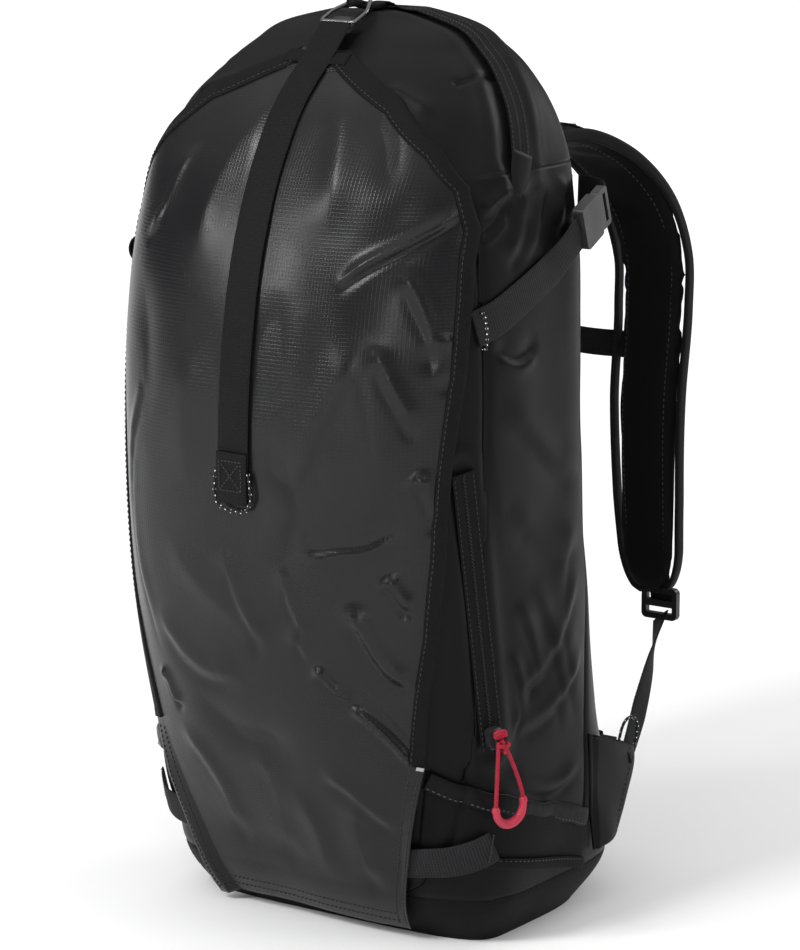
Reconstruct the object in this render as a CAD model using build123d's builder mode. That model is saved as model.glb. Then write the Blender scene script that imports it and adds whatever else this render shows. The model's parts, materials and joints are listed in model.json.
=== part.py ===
from build123d import *
import os
from math import copysign, cos, pi, radians, sin

# Ski touring and avalanche airbag backpack, standing on its base. Millimetres, +Z up, the flap faces -Y,
# the harness is at +Y and +X is the wearer's right. The origin is on the floor, under the top of the pack.

# ---- driving dimensions -------------------------------------------------------------------------
# Outside of the pack bag: height, half width, front depth, back depth, roundness of the front corners
STATIONS = (
    (0, 122, 44, 120, 4.6),
    (25, 138, 66, 138, 3.8),
    (70, 145, 88, 138, 3.2),
    (150, 147, 122, 112, 2.8),
    (250, 149, 146, 84, 2.8),
    (350, 149, 156, 73, 2.8),
    (430, 148, 152, 71, 2.8),
    (500, 144, 136, 73, 2.8),
    (550, 134, 113, 76, 2.8),
    (590, 113, 82, 72, 2.8),
    (615, 88, 50, 64, 2.8),
    (630, 62, 26, 55, 2.8),
    (638, 30, 8, 44, 2.8),
)
BACK_ROUNDNESS = 4.5
POINTS_ROUND = 36
SKIN = 2.0  # sewn fabric with its lining
SEAM_BOTTOM = 36  # top of the bottom panel
SEAM_FRONT = -72  # where the front panel meets the side panels
SEAM_BACK = 56  # where the side panels meet the rear panel
LID_Z = 540  # the lid folds forward at this height

# The zip over the top lies in a plane that leans back, on a circle about this centre
ZIP_LEAN = 24.0
ZIP_CENTRE = (0, -35, 513)
ZIP_RADIUS = 143.0
ZIP_END_ANGLE = 16.0
TAPE_HEIGHT = 12.0
REAR_TAPE = 11.0
LID_TAPE = 5.0
TAPE_GAP = 0.3
SLIDER_LIFT = 2.4  # clears the bulge of the rear panel on either side of the top

# Side zip: a straight line on the wearer's right
SIDE_ZIP_TURN = 21.0  # how far its face is turned from +X towards -Y
SIDE_ZIP_TOP = (139.5, -92.3, 346)
SIDE_ZIP_BOTTOM = (142.5, -59.2, 150)
SIDE_TAPE_WIDTH = 14.0
SLIDER = (11.0, 15.0, 5.0)  # across, along, thick

# Layers over the bag, as distances outside its surface
POCKET_LAYER = (0.4, 1.8)
STRAP_LAYER = (0.5, 2.2)
FLAP_LAYER = (3.0, 4.6)
ANCHOR_LAYER = (4.9, 6.1)
TAIL_LAYER = (6.4, 7.6)

# Flap outline, right half: across and up
FLAP_EDGE = (
    (20, 616), (77, 590), (112, 559), (130, 535), (138, 508), (140, 462), (140, 410),
    (134, 350), (131, 288), (127, 232), (119, 176), (114, 141), (102, 92), (82, 10),
)
BINDING = 8.0
BINDING_END = 142

WEB = 25.0  # webbing width
TAIL_END = 322.0
TAB_HEIGHT = 17.0

# Hook bars, as (y, z), and the hook's wire
HOOK_TIP = (-40, 634.5)
HOOK_TOP = (-6, 648.3)
WIRE = 1.4

# Shoulder strap, right: across, back, up, width
STRAP_PATH = (
    (42, 82, 528, 54), (44, 120, 541, 56), (48, 165, 541, 58), (60, 207, 520, 60), (77, 229, 486, 60),
    (90, 231, 448, 60), (97, 221, 412, 60), (101, 208, 345, 58), (104, 206, 272, 54), (106, 211, 202, 46),
)
PAD = 12.0

# Wing tab at the foot of each shoulder strap: back and up
WING = ((62, 132), (116, 114), (119, 100), (100, 62), (86, 44))
WING_X = (146.6, 149.2)

COMPRESSION_BAND = ((-78.5, 454.7), (30, 496.3), (39, 473), (-69.5, 431.3))  # back and up
BUCKLE = (147.5, 52, 505)  # where the two halves of the compression buckle meet
BUCKLE_RISE = 21.0
BUCKLE_LEAN = 6.0
BUCKLE_SIZE = (26.0, 31.0, 8.0)
FIT = 0.35  # clearance round a prong in its socket

STERNUM_Z = 380
HIP_HINGE = (100, 162)  # across and back
HIP_WING = ((14, 156, 42), (HIP_HINGE[0] - 2, 168, 108))
CYLINDER = (-72, 22)  # across and back
CYLINDER_RADIUS = 27.0
CYLINDER_HEIGHT = (70, 250)
SLEEVE = ((-117, 216.6, 213), (-87, 231.4, 281))


def outline(station, out):
    """Points round the bag at one height, moved outwards by out."""
    half_width, front, back, roundness = station[1:]
    points = []
    for step in range(POINTS_ROUND):
        c = cos(2 * pi * step / POINTS_ROUND)
        s = sin(2 * pi * step / POINTS_ROUND)
        power = BACK_ROUNDNESS if s > 0 else roundness
        depth = back if s > 0 else front
        reach = ((abs(c) / (half_width + out)) ** power + (abs(s) / (depth + out)) ** power) ** (-1 / power)
        points.append((reach * c, reach * s))
    return points


def bag(out, base=0.0):
    """The whole bag as one closed solid, moved outwards by out, from the height base."""
    with BuildPart() as solid:
        for number, station in enumerate(STATIONS):
            height = station[0]
            if number == 0:
                height += base
            if number == len(STATIONS) - 1:
                height += out
            with BuildSketch(Plane.XY.offset(height)):
                with BuildLine():
                    Spline(*outline(station, out), periodic=True)
                make_face()
        loft()
    return solid.part


def layer(outside, inside):
    """The skin between two bags."""
    with BuildPart() as skin:
        add(outside)
        add(inside, mode=Mode.SUBTRACT)
    return skin.part


def within(skin, region):
    """The part of a skin inside a region."""
    with BuildPart() as piece:
        add(skin)
        add(region, mode=Mode.INTERSECT)
    return piece.part


def block(low, high):
    """A box from its lowest to its highest corner."""
    size = [b - a for a, b in zip(low, high)]
    with BuildPart() as box:
        with Locations(low):
            Box(*size, align=(Align.MIN, Align.MIN, Align.MIN))
    return box.part


def prism_along_y(points, depth):
    """A region with a front-view outline, from y = 0 forward to -depth."""
    with BuildPart() as region:
        with BuildSketch(Plane.XZ):
            with BuildLine():
                Polyline(*points, close=True)
            make_face()
        extrude(amount=depth)
    return region.part


def prism_along_x(points, start, end):
    """A region with a side-view outline of (y, z) points, from x = start to end."""
    with BuildPart() as region:
        with BuildSketch(Plane.YZ.offset(start)):
            with BuildLine():
                Polyline(*points, close=True)
            make_face()
        extrude(amount=end - start)
    return region.part


def strip(start, end, width, thick, across):
    """A straight length of webbing from start to end."""
    run = Vector(*end) - Vector(*start)
    with BuildPart() as web:
        with BuildSketch(Plane(origin=start, x_dir=across, z_dir=run.normalized())):
            Rectangle(width, thick)
        extrude(amount=run.length)
    return web.part


def save(piece, name):
    """Labels a finished piece and writes its STEP file."""
    piece.label = name
    export_step(piece, f"parts/{name}.step")


def save_pair(piece, name):
    """Writes the wearer's right piece and its mirror image."""
    save(piece, f"{name}_right")
    save(mirror(piece, about=Plane.YZ), f"{name}_left")


def save_both(piece, name):
    """Writes a piece and its mirror image as one node."""
    with BuildPart() as both:
        add(piece)
        mirror(about=Plane.YZ)
    save(both.part, name)


os.makedirs("parts", exist_ok=True)

# ---- sewn panels of the bag ---------------------------------------------------------------------
OUTSIDE = bag(0)
SHELL = layer(OUTSIDE, bag(-SKIN, SKIN))
FAR = 400.0

zip_lean = radians(ZIP_LEAN)
zip_up = Vector(0, sin(zip_lean), cos(zip_lean))
zip_back = Vector(0, cos(zip_lean), -sin(zip_lean))
ZIP_PLANE = Plane(origin=ZIP_CENTRE, x_dir=(1, 0, 0), z_dir=zip_back)


def behind_zip(gap):
    """Everything above the lid's fold and behind the zip's plane, or in front of it for a negative gap."""
    with BuildPart() as region:
        with BuildSketch(ZIP_PLANE.offset(gap)):
            Rectangle(FAR, FAR)
        extrude(amount=copysign(FAR, gap))
        add(block((-FAR, -FAR, LID_Z), (FAR, FAR, 2 * FAR)), mode=Mode.INTERSECT)
    return region.part


SEAM = 0.01
lid_panel = within(SHELL, behind_zip(-SEAM))
save(lid_panel, "lid_panel")
save(within(SHELL, block((-FAR, -FAR, 0), (FAR, FAR, SEAM_BOTTOM))), "bottom_panel")
save(within(SHELL, block((-FAR, -FAR, SEAM_BOTTOM), (FAR, SEAM_FRONT, LID_Z))), "front_panel")
side_panel = within(SHELL, block((0, SEAM_FRONT, SEAM_BOTTOM), (FAR, SEAM_BACK, LID_Z)))
save_pair(side_panel, "side_panel")
with BuildPart() as rear_region:
    add(block((-FAR, SEAM_BACK, SEAM_BOTTOM), (FAR, FAR, LID_Z)))
    add(behind_zip(SEAM))
save(within(SHELL, rear_region.part), "rear_panel")


# ---- zip over the top ---------------------------------------------------------------------------
def zip_ring(near, far):
    """Half of the zip's tape: a band on the zip's circle, between two distances behind its plane."""
    span = 180 - 2 * ZIP_END_ANGLE
    with BuildPart() as ring:
        with BuildSketch(ZIP_PLANE.offset(near)):
            with BuildLine():
                outer = CenterArc((0, 0), ZIP_RADIUS, -180 + ZIP_END_ANGLE, span)
                inner = CenterArc((0, 0), ZIP_RADIUS - TAPE_HEIGHT, -180 + ZIP_END_ANGLE, span)
                Line(outer @ 0, inner @ 0)
                Line(outer @ 1, inner @ 1)
            make_face()
        extrude(amount=far - near)
        add(OUTSIDE, mode=Mode.SUBTRACT)
    return ring.part


save(zip_ring(TAPE_GAP, REAR_TAPE), "top_zip_tape_rear")
save(zip_ring(-LID_TAPE, -TAPE_GAP), "top_zip_tape_lid")

slider_angle = radians(-180 + ZIP_END_ANGLE + 4)
SLIDER_OUT = Vector(*(ZIP_PLANE.x_dir * cos(slider_angle) + ZIP_PLANE.y_dir * sin(slider_angle)))
slider_origin = Vector(*ZIP_CENTRE) + SLIDER_OUT * (ZIP_RADIUS + SLIDER_LIFT)
TOP_SLIDER_PLANE = Plane(origin=slider_origin, x_dir=zip_back, z_dir=SLIDER_OUT)
with BuildPart() as top_zip_slider:
    with BuildSketch(TOP_SLIDER_PLANE):
        RectangleRounded(8.6, 13.0, 3.0)
    extrude(amount=3.5)
    with BuildSketch(TOP_SLIDER_PLANE.offset(3.5)):
        Rectangle(3.0, 7.0)
    extrude(amount=2.5)
save(top_zip_slider.part, "top_zip_slider")
with BuildPart() as top_zip_tab:
    with BuildSketch(TOP_SLIDER_PLANE.offset(6.4)):
        with Locations((0, 12)):
            RectangleRounded(9.0, 34.0, 4.0)
    extrude(amount=2.4)
save(top_zip_tab.part, "top_zip_tab")

# ---- side zip -----------------------------------------------------------------------------------
side_turn = radians(SIDE_ZIP_TURN)
side_out = Vector(cos(side_turn), -sin(side_turn), 0)
side_top = Vector(*SIDE_ZIP_TOP)
side_bottom = Vector(*SIDE_ZIP_BOTTOM)
side_run = side_top - side_bottom
side_up = side_run.normalized()
side_across = side_up.cross(side_out).normalized()
side_face = side_across.cross(side_up).normalized()
SIDE_ZIP_PLANE = Plane(origin=side_bottom, x_dir=side_across, z_dir=side_face)
with BuildPart() as side_zip_tape:
    with BuildSketch(SIDE_ZIP_PLANE):
        with Locations((0, side_run.length / 2)):
            Rectangle(SIDE_TAPE_WIDTH, side_run.length)
    extrude(amount=-TAPE_HEIGHT)
    add(OUTSIDE, mode=Mode.SUBTRACT)
save(side_zip_tape.part, "side_zip_tape")

SIDE_SLIDER_PLANE = SIDE_ZIP_PLANE.offset(TAPE_GAP)
with BuildPart() as side_zip_slider:
    with BuildSketch(SIDE_SLIDER_PLANE):
        with Locations((0, 8)):
            RectangleRounded(SLIDER[0], SLIDER[1], 3.0)
    extrude(amount=SLIDER[2])
    with BuildSketch(SIDE_SLIDER_PLANE.offset(SLIDER[2])):
        with Locations((0, 6)):
            Rectangle(3.0, 8.0)
    extrude(amount=3.2)
save(side_zip_slider.part, "side_zip_slider")

# ---- red cord pull of the side zip: a loop through a moulded grip, hung on the slider ------------
PULL_CORD = 3.0
PULL_PLANE = Plane(
    origin=side_bottom + side_face * 11.5 + side_up * 9, x_dir=side_across, z_dir=side_face
)
PULL_ROUTE = (
    (0, 0), (4, -9), (8, -22), (11.5, -36), (13.5, -50), (8.5, -61), (-4, -63), (-11.5, -54), (-9, -40), (-6.5, -25),
    (-4, -11), (-2.4, -1),
)


def run_arcs(points, share=0.45):
    """The radius of the arc at each inner corner of a route."""
    radii = []
    for before, corner, after in zip(points, points[1:], points[2:]):
        arriving = corner - before
        leaving = after - corner
        turn = radians(arriving.get_angle(leaving))
        shorter = min(arriving.length, leaving.length)
        radii.append(share * shorter * (1 + cos(turn)) / sin(turn))
    return radii


def tube(points, radius):
    """A round cord or hose along straight runs joined by arcs."""
    corners = [Vector(*point) for point in points]
    radii = run_arcs(corners)
    with BuildPart() as cord:
        with BuildLine() as route:
            FilletPolyline(*corners, radius=radii)
        with BuildSketch(Plane(origin=corners[0], z_dir=corners[1] - corners[0])):
            Circle(radius)
        sweep()
    straight = pi * radius ** 2 * route.wire().length
    print("tube", round(cord.part.volume), round(straight), "smallest arc", round(min(radii), 1))
    return cord.part


pull_points = [PULL_PLANE.from_local_coords((x, y, 0)) for x, y in PULL_ROUTE]
save(tube(pull_points, PULL_CORD / 2), "pull_cord")
with BuildPart() as pull_grip:
    with BuildSketch(PULL_PLANE.offset(-2.6)):
        with BuildLine():
            Polyline((-15.5, -50), (-15.5, -58), (-6, -68), (10, -66), (18, -55), (18, -46), (9.5, -46), (9, -53),
                     (5, -57), (-3, -58), (-7, -54), (-7, -50), close=True)
        make_face()
    extrude(amount=5.2)
    add(tube(pull_points, PULL_CORD / 2 + 0.1), mode=Mode.SUBTRACT)
save(pull_grip.part, "pull_grip")

# ---- side pockets, their hems and the short webbings below them ---------------------------------
POCKET_HEM = ((-86, 120), (-57, 96), (0, 80), (52, 66))
HEM_HEIGHT = 8.0
pocket_skin = layer(bag(POCKET_LAYER[1]), bag(POCKET_LAYER[0]))
pocket_region = prism_along_x(((-86, 37), *POCKET_HEM, (52, 37)), 100, FAR)
hem_top = [(y, z + HEM_HEIGHT) for y, z in reversed(POCKET_HEM)]
hem_region = prism_along_x((*POCKET_HEM, *hem_top), 100, FAR)
save_both(within(pocket_skin, pocket_region), "side_pockets")
save_both(within(pocket_skin, hem_region), "pocket_hems")
side_webbing_skin = layer(bag(3.4), bag(2.0))
side_webbing_region = prism_along_x(((-90, 55), (-90, 80), (-36, 97), (-28, 73)), 106, FAR)
save_both(within(side_webbing_skin, side_webbing_region), "side_webbings")

# ---- front flap ----------------------------------------------------------------------------------
flap_outline = [*FLAP_EDGE, *((-x, z) for x, z in reversed(FLAP_EDGE))]


def flap_region(inset):
    """Everything behind the flap's outline, moved inwards by inset."""
    with BuildPart() as region:
        with BuildSketch(Plane.XZ):
            with BuildLine():
                Polyline(*flap_outline, close=True)
            make_face()
            if inset:
                offset(amount=-inset, kind=Kind.INTERSECTION, mode=Mode.REPLACE)
        extrude(amount=FAR)
    return region.part


flap_skin = layer(bag(FLAP_LAYER[1]), bag(FLAP_LAYER[0]))
with BuildPart() as flap_field:
    add(flap_region(BINDING))
    add(within(flap_region(0), block((-FAR, -FAR, 0), (FAR, 0, BINDING_END))))
with BuildPart() as binding_ring:
    add(flap_region(0))
    add(flap_region(BINDING), mode=Mode.SUBTRACT)
    add(block((-FAR, -FAR, 0), (FAR, 0, BINDING_END)), mode=Mode.SUBTRACT)
save(within(flap_skin, flap_field.part), "front_flap")
save(within(flap_skin, binding_ring.part), "flap_binding")
strap_skin = layer(bag(ANCHOR_LAYER[1]), bag(ANCHOR_LAYER[0]))
tab_skin = layer(bag(TAIL_LAYER[1]), bag(TAIL_LAYER[0]))
half_web = WEB / 2
save(within(strap_skin, block((-half_web, -FAR, TAIL_END), (half_web, 0, 608))), "front_strap")
save(within(tab_skin, block((-half_web, -FAR, TAIL_END), (half_web, 0, TAIL_END + TAB_HEIGHT))), "strap_tab")

# ---- hook of the front strap, and the rolled haul loop it holds ----------------------------------
hook_run = Vector(0, HOOK_TOP[0] - HOOK_TIP[0], HOOK_TOP[1] - HOOK_TIP[1])
HOOK_PLANE = Plane(
    origin=(0, *HOOK_TIP), x_dir=(1, 0, 0), z_dir=Vector(1, 0, 0).cross(hook_run).normalized()
)
with BuildPart() as strap_hook:
    with BuildSketch(HOOK_PLANE.offset(-WIRE)):
        with BuildLine():
            peak = hook_run.length
            Polyline((-14, 0), (14, 0), (14, 16), (6, peak), (-6, peak), (-14, 16), close=True)
        make_face()
        fillet(vertices(), 4)
        offset(amount=WIRE, mode=Mode.REPLACE)
        offset(amount=-2 * WIRE, mode=Mode.SUBTRACT)
    extrude(amount=2 * WIRE)
save(strap_hook.part, "strap_hook")
with BuildPart() as hook_plate:
    with BuildSketch(HOOK_PLANE.offset(-WIRE - 4.3)):
        with Locations((0, 3)):
            RectangleRounded(24, 18, 4)
    extrude(amount=3.4)
    add(bag(ANCHOR_LAYER[1] + 0.2), mode=Mode.SUBTRACT)
save(hook_plate.part, "hook_plate")
HAUL_ROUTE = ((0, 16, 641.9), (0, 2, 641.9), (0, -11, 643.2), (0, -24, 647))
save(tube(HAUL_ROUTE, 3.4), "haul_loop")

# ---- compression straps and their side-release buckles -------------------------------------------
rise = radians(BUCKLE_RISE)
buckle_lean = radians(BUCKLE_LEAN)
buckle_out = Vector(cos(buckle_lean), sin(buckle_lean), 0)
buckle_along = Vector(-sin(buckle_lean) * cos(rise), cos(buckle_lean) * cos(rise), sin(rise))
buckle_across = buckle_out.cross(buckle_along)
BUCKLE_PLANE = Plane(origin=BUCKLE, x_dir=buckle_along, z_dir=buckle_out)
length, width, thick = BUCKLE_SIZE
with BuildPart() as buckle_socket:
    with BuildSketch(BUCKLE_PLANE):
        with Locations((-length / 2, 0)):
            RectangleRounded(length, width, 3)
    extrude(amount=thick)
    with BuildSketch(BUCKLE_PLANE.offset(1.8)):
        with Locations((-10, 0)):
            Rectangle(20, 22)
    extrude(amount=thick - 3.6, mode=Mode.SUBTRACT)
save_pair(buckle_socket.part, "buckle_socket")
with BuildPart() as buckle_prong:
    with BuildSketch(BUCKLE_PLANE.offset(1.0)):
        with Locations((7.5, 0)):
            RectangleRounded(14, 29, 3)
        with Locations((9, 0)):
            Rectangle(4, 21, mode=Mode.SUBTRACT)
    extrude(amount=thick - 2)
    with BuildSketch(BUCKLE_PLANE.offset(1.8 + FIT)):
        with Locations((-8, 0)):
            Rectangle(18, 22 - 2 * FIT)
        with Locations((-6, 0)):
            Rectangle(16, 9, mode=Mode.SUBTRACT)
    extrude(amount=thick - 3.6 - 2 * FIT)
save_pair(buckle_prong.part, "buckle_prong")
strap_web = within(layer(bag(STRAP_LAYER[1]), bag(STRAP_LAYER[0])), prism_along_x(COMPRESSION_BAND, 90, FAR))
save_both(strap_web, "compression_straps")
rear_start = Vector(*BUCKLE) + buckle_along * 16.5 + buckle_out * 4
save_both(strip(rear_start, (121, 79.5, 513), WEB, 1.4, buckle_across), "compression_tails")

# ---- wing tabs ----------------------------------------------------------------------------------
save_both(prism_along_x(WING, *WING_X), "wing_tabs")

# ---- shoulder straps -----------------------------------------------------------------------------
STRAP_THICK = 12.0


def strap_band():
    """Side view of the right shoulder strap: a band along its path."""
    path = [Vector(0, y, z) for across, y, z, wide in STRAP_PATH]
    over = []
    under = []
    for number, point in enumerate(path):
        before = path[max(number - 1, 0)]
        after = path[min(number + 1, len(path) - 1)]
        normal = Vector(1, 0, 0).cross((after - before).normalized())
        over.append(point + normal * (STRAP_THICK / 2))
        under.append(point - normal * (STRAP_THICK / 2))
    with BuildPart() as band:
        with BuildSketch(Plane.YZ):
            with BuildLine():
                Spline(*((p.Y, p.Z) for p in over))
                Spline(*((p.Y, p.Z) for p in under))
                Line((over[0].Y, over[0].Z), (under[0].Y, under[0].Z))
                Line((over[-1].Y, over[-1].Z), (under[-1].Y, under[-1].Z))
            make_face()
        extrude(amount=FAR)
    return band.part


def strap_front():
    """Front view of the right shoulder strap, below the shoulder."""
    lower = STRAP_PATH[3:]
    inner = [(across - wide / 2, z) for across, y, z, wide in lower]
    outer = [(across + wide / 2, z) for across, y, z, wide in lower]
    top_inner = STRAP_PATH[0][0] - STRAP_PATH[0][3] / 2
    top_outer = STRAP_PATH[2][0] + STRAP_PATH[2][3] / 2
    foot = (STRAP_PATH[-1][0], STRAP_PATH[-1][2] - 14)
    with BuildPart() as front:
        with BuildSketch(Plane.XZ):
            with BuildLine():
                Spline((top_inner, 548), *inner)
                Spline(inner[-1], foot, outer[-1], tangents=((0, -1), (0, 1)))
                Spline((top_outer, 548), *outer)
                Polyline((top_inner, 548), (top_inner, 570), (top_outer, 570), (top_outer, 548))
            make_face()
        extrude(amount=-FAR)
    return front.part


shoulder_strap = within(strap_band(), strap_front())
save_pair(shoulder_strap, "shoulder_strap")
foot_x, foot_y, foot_z, foot_wide = STRAP_PATH[-1]
LOCK_PLANE = Plane.XZ.offset(-foot_y - 9)
with BuildPart() as ladder_lock:
    with BuildSketch(LOCK_PLANE):
        with Locations((foot_x, foot_z - 12)):
            RectangleRounded(30, 24, 4)
            with Locations((0, 5), (0, -5)):
                Rectangle(22, 5, mode=Mode.SUBTRACT)
    extrude(amount=-5)
save_pair(ladder_lock.part, "ladder_lock")
web_start = (foot_x, foot_y + 12, foot_z - 26)
save_pair(strip(web_start, (145, 126, 116), 20, 1.2, (1, 0.35, 0)), "lower_webbing")

# ---- sternum strap -------------------------------------------------------------------------------
STERNUM_Y = 226
with BuildPart() as sternum_right:
    with BuildSketch(Plane.XZ.offset(-STERNUM_Y)):
        with Locations((84, STERNUM_Z)):
            RectangleRounded(22, 26, 4)
    extrude(amount=-6)
    with BuildSketch(Plane.XZ.offset(-STERNUM_Y - 2)):
        with Locations((43, STERNUM_Z)):
            Rectangle(60, 20)
    extrude(amount=-1.6)
save_pair(sternum_right.part, "sternum_strap")
with BuildPart() as sternum_socket:
    with BuildSketch(Plane.XZ.offset(-STERNUM_Y + 1)):
        with Locations((-4, STERNUM_Z)):
            RectangleRounded(17, 26, 3)
    extrude(amount=-8)
    with BuildSketch(Plane.XZ.offset(-STERNUM_Y - 1)):
        with Locations((-2, STERNUM_Z)):
            Rectangle(13, 18)
    extrude(amount=-4, mode=Mode.SUBTRACT)
save(sternum_socket.part, "sternum_socket")
with BuildPart() as sternum_prong:
    with BuildSketch(Plane.XZ.offset(-STERNUM_Y)):
        with Locations((8.8, STERNUM_Z)):
            RectangleRounded(8, 24, 2)
    extrude(amount=-6)
    with BuildSketch(Plane.XZ.offset(-STERNUM_Y - 1 - FIT)):
        with Locations((-0.5, STERNUM_Z)):
            Rectangle(14, 18 - 2 * FIT)
            Rectangle(12, 7, mode=Mode.SUBTRACT)
    extrude(amount=-4 + 2 * FIT)
save(sternum_prong.part, "sternum_prong")

# ---- back pads and frame --------------------------------------------------------------------------
pad_skin = layer(bag(14), bag(0.4))
with BuildPart() as pad_region:
    add(block((16, 0, 205), (98, FAR, 500)))
    mirror(about=Plane.YZ)
save(within(pad_skin, pad_region.part), "back_pads")
save(within(pad_skin, block((-70, 0, 50), (70, FAR, 170))), "lumbar_pad")
save(within(layer(bag(-2.4), bag(-3.9)), block((-110, 40, 70), (110, FAR, 520))), "frame_sheet")
save(within(layer(bag(-4.2), bag(-7.2)), block((-6, 40, 90), (6, FAR, 510))), "frame_stay")

# ---- airbag system ---------------------------------------------------------------------------------
save(within(bag(-7.2), block((-FAR, -FAR, 556), (FAR, FAR, 616))), "airbag")
bottom_end, top_end = CYLINDER_HEIGHT
with BuildPart() as gas_cylinder:
    with BuildSketch(Plane.XY.offset(bottom_end)):
        with Locations(CYLINDER):
            Circle(CYLINDER_RADIUS)
    extrude(amount=top_end - bottom_end)
    fillet(edges().filter_by(GeomType.CIRCLE), 18)
    with BuildSketch(Plane.XY.offset(top_end - 1)):
        with Locations(CYLINDER):
            Circle(9)
    extrude(amount=16)
save(gas_cylinder.part, "gas_cylinder")
HEAD_LOW = top_end + 15
HEAD_HIGH = HEAD_LOW + 40
with BuildPart() as inflator_head:
    with BuildSketch(Plane.XY.offset(HEAD_LOW)):
        with Locations(CYLINDER):
            RectangleRounded(46, 36, 9)
    extrude(amount=HEAD_HIGH - HEAD_LOW)
    with BuildSketch(Plane.XY.offset(HEAD_LOW + 10)):
        with Locations((CYLINDER[0] + 12, CYLINDER[1])):
            Circle(3.4)
    extrude(amount=FAR, mode=Mode.SUBTRACT)
save(inflator_head.part, "inflator_head")
with BuildPart() as firing_pin:
    with BuildSketch(Plane.XY.offset(HEAD_LOW + 20)):
        with Locations((CYLINDER[0] + 12, CYLINDER[1])):
            Circle(2.8)
    extrude(amount=28)
save(firing_pin.part, "firing_pin")
with BuildPart() as gas_hose:
    with BuildSketch(Plane.XY.offset(HEAD_HIGH)):
        with Locations((CYLINDER[0] - 8, CYLINDER[1])):
            Circle(8)
    extrude(amount=556 - HEAD_HIGH)
save(gas_hose.part, "gas_hose")
CABLE_ROUTE = (
    (-60, 22, 322), (-58, 24, 360), (-54, 33, 400), (-50, 44, 440), (-46, 52, 478), (-43, 58, 510),
)
save(tube(CABLE_ROUTE, 2.5), "trigger_cable")
low, high = SLEEVE
with BuildPart() as handle_sleeve:
    add(block(low, high))
    with Locations(((low[0] + high[0]) / 2, (low[1] + high[1]) / 2, high[2])):
        Box(25, 10, 62, align=(Align.CENTER, Align.CENTER, Align.MAX), mode=Mode.SUBTRACT)
save(handle_sleeve.part, "handle_sleeve")
handle_centre = ((low[0] + high[0]) / 2, (low[1] + high[1]) / 2)
with BuildPart() as trigger_handle:
    with BuildSketch(Plane.XY.offset(high[2] - 58)):
        with Locations(handle_centre):
            RectangleRounded(17, 7, 3)
    extrude(amount=58.5)
    with BuildSketch(Plane.XY.offset(high[2] + 0.4)):
        with Locations(handle_centre):
            RectangleRounded(44, 13, 6)
    extrude(amount=14)
save(trigger_handle.part, "trigger_handle")

# ---- hip belt, folded behind the lumbar pad ---------------------------------------------------------
wing_low, wing_high = HIP_WING
with BuildPart() as hip_wing:
    add(block(wing_low, wing_high))
    fillet(edges().filter_by(Axis.Y).group_by(Axis.X)[0], 16)
save_pair(hip_wing.part, "hip_wing")
with BuildPart() as hip_root:
    add(block((HIP_HINGE[0] - 1, 137, 46), (HIP_HINGE[0] + 12, 153, 104)))
    add(bag(0.4), mode=Mode.SUBTRACT)
save_both(hip_root.part, "hip_roots")
BELT_WIDE = 38.0
belt_low = (wing_low[2] + wing_high[2] - BELT_WIDE) / 2
save_pair(block((6, 168.4, belt_low), (70, 170, belt_low + BELT_WIDE)), "hip_webbing")
with BuildPart() as hip_socket:
    add(block((-62, 170.4, belt_low - 4), (-28, 181, belt_low + BELT_WIDE + 4)))
    fillet(edges().filter_by(Axis.Y), 5)
    add(block((-50, 173, belt_low + 2), (-27, 178.5, belt_low + BELT_WIDE - 2)), mode=Mode.SUBTRACT)
save(hip_socket.part, "hip_socket")
with BuildPart() as hip_prong:
    add(block((44, 170.4, belt_low - 3), (60, 180, belt_low + BELT_WIDE + 3)))
    add(block((26, 173, belt_low + 3), (44, 178, belt_low + 11)))
    add(block((26, 173, belt_low + BELT_WIDE - 11), (44, 178, belt_low + BELT_WIDE - 3)))
save(hip_prong.part, "hip_prong")
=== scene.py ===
import json
import math

import bmesh
import bpy
import numpy as np
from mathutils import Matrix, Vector, noise

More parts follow.
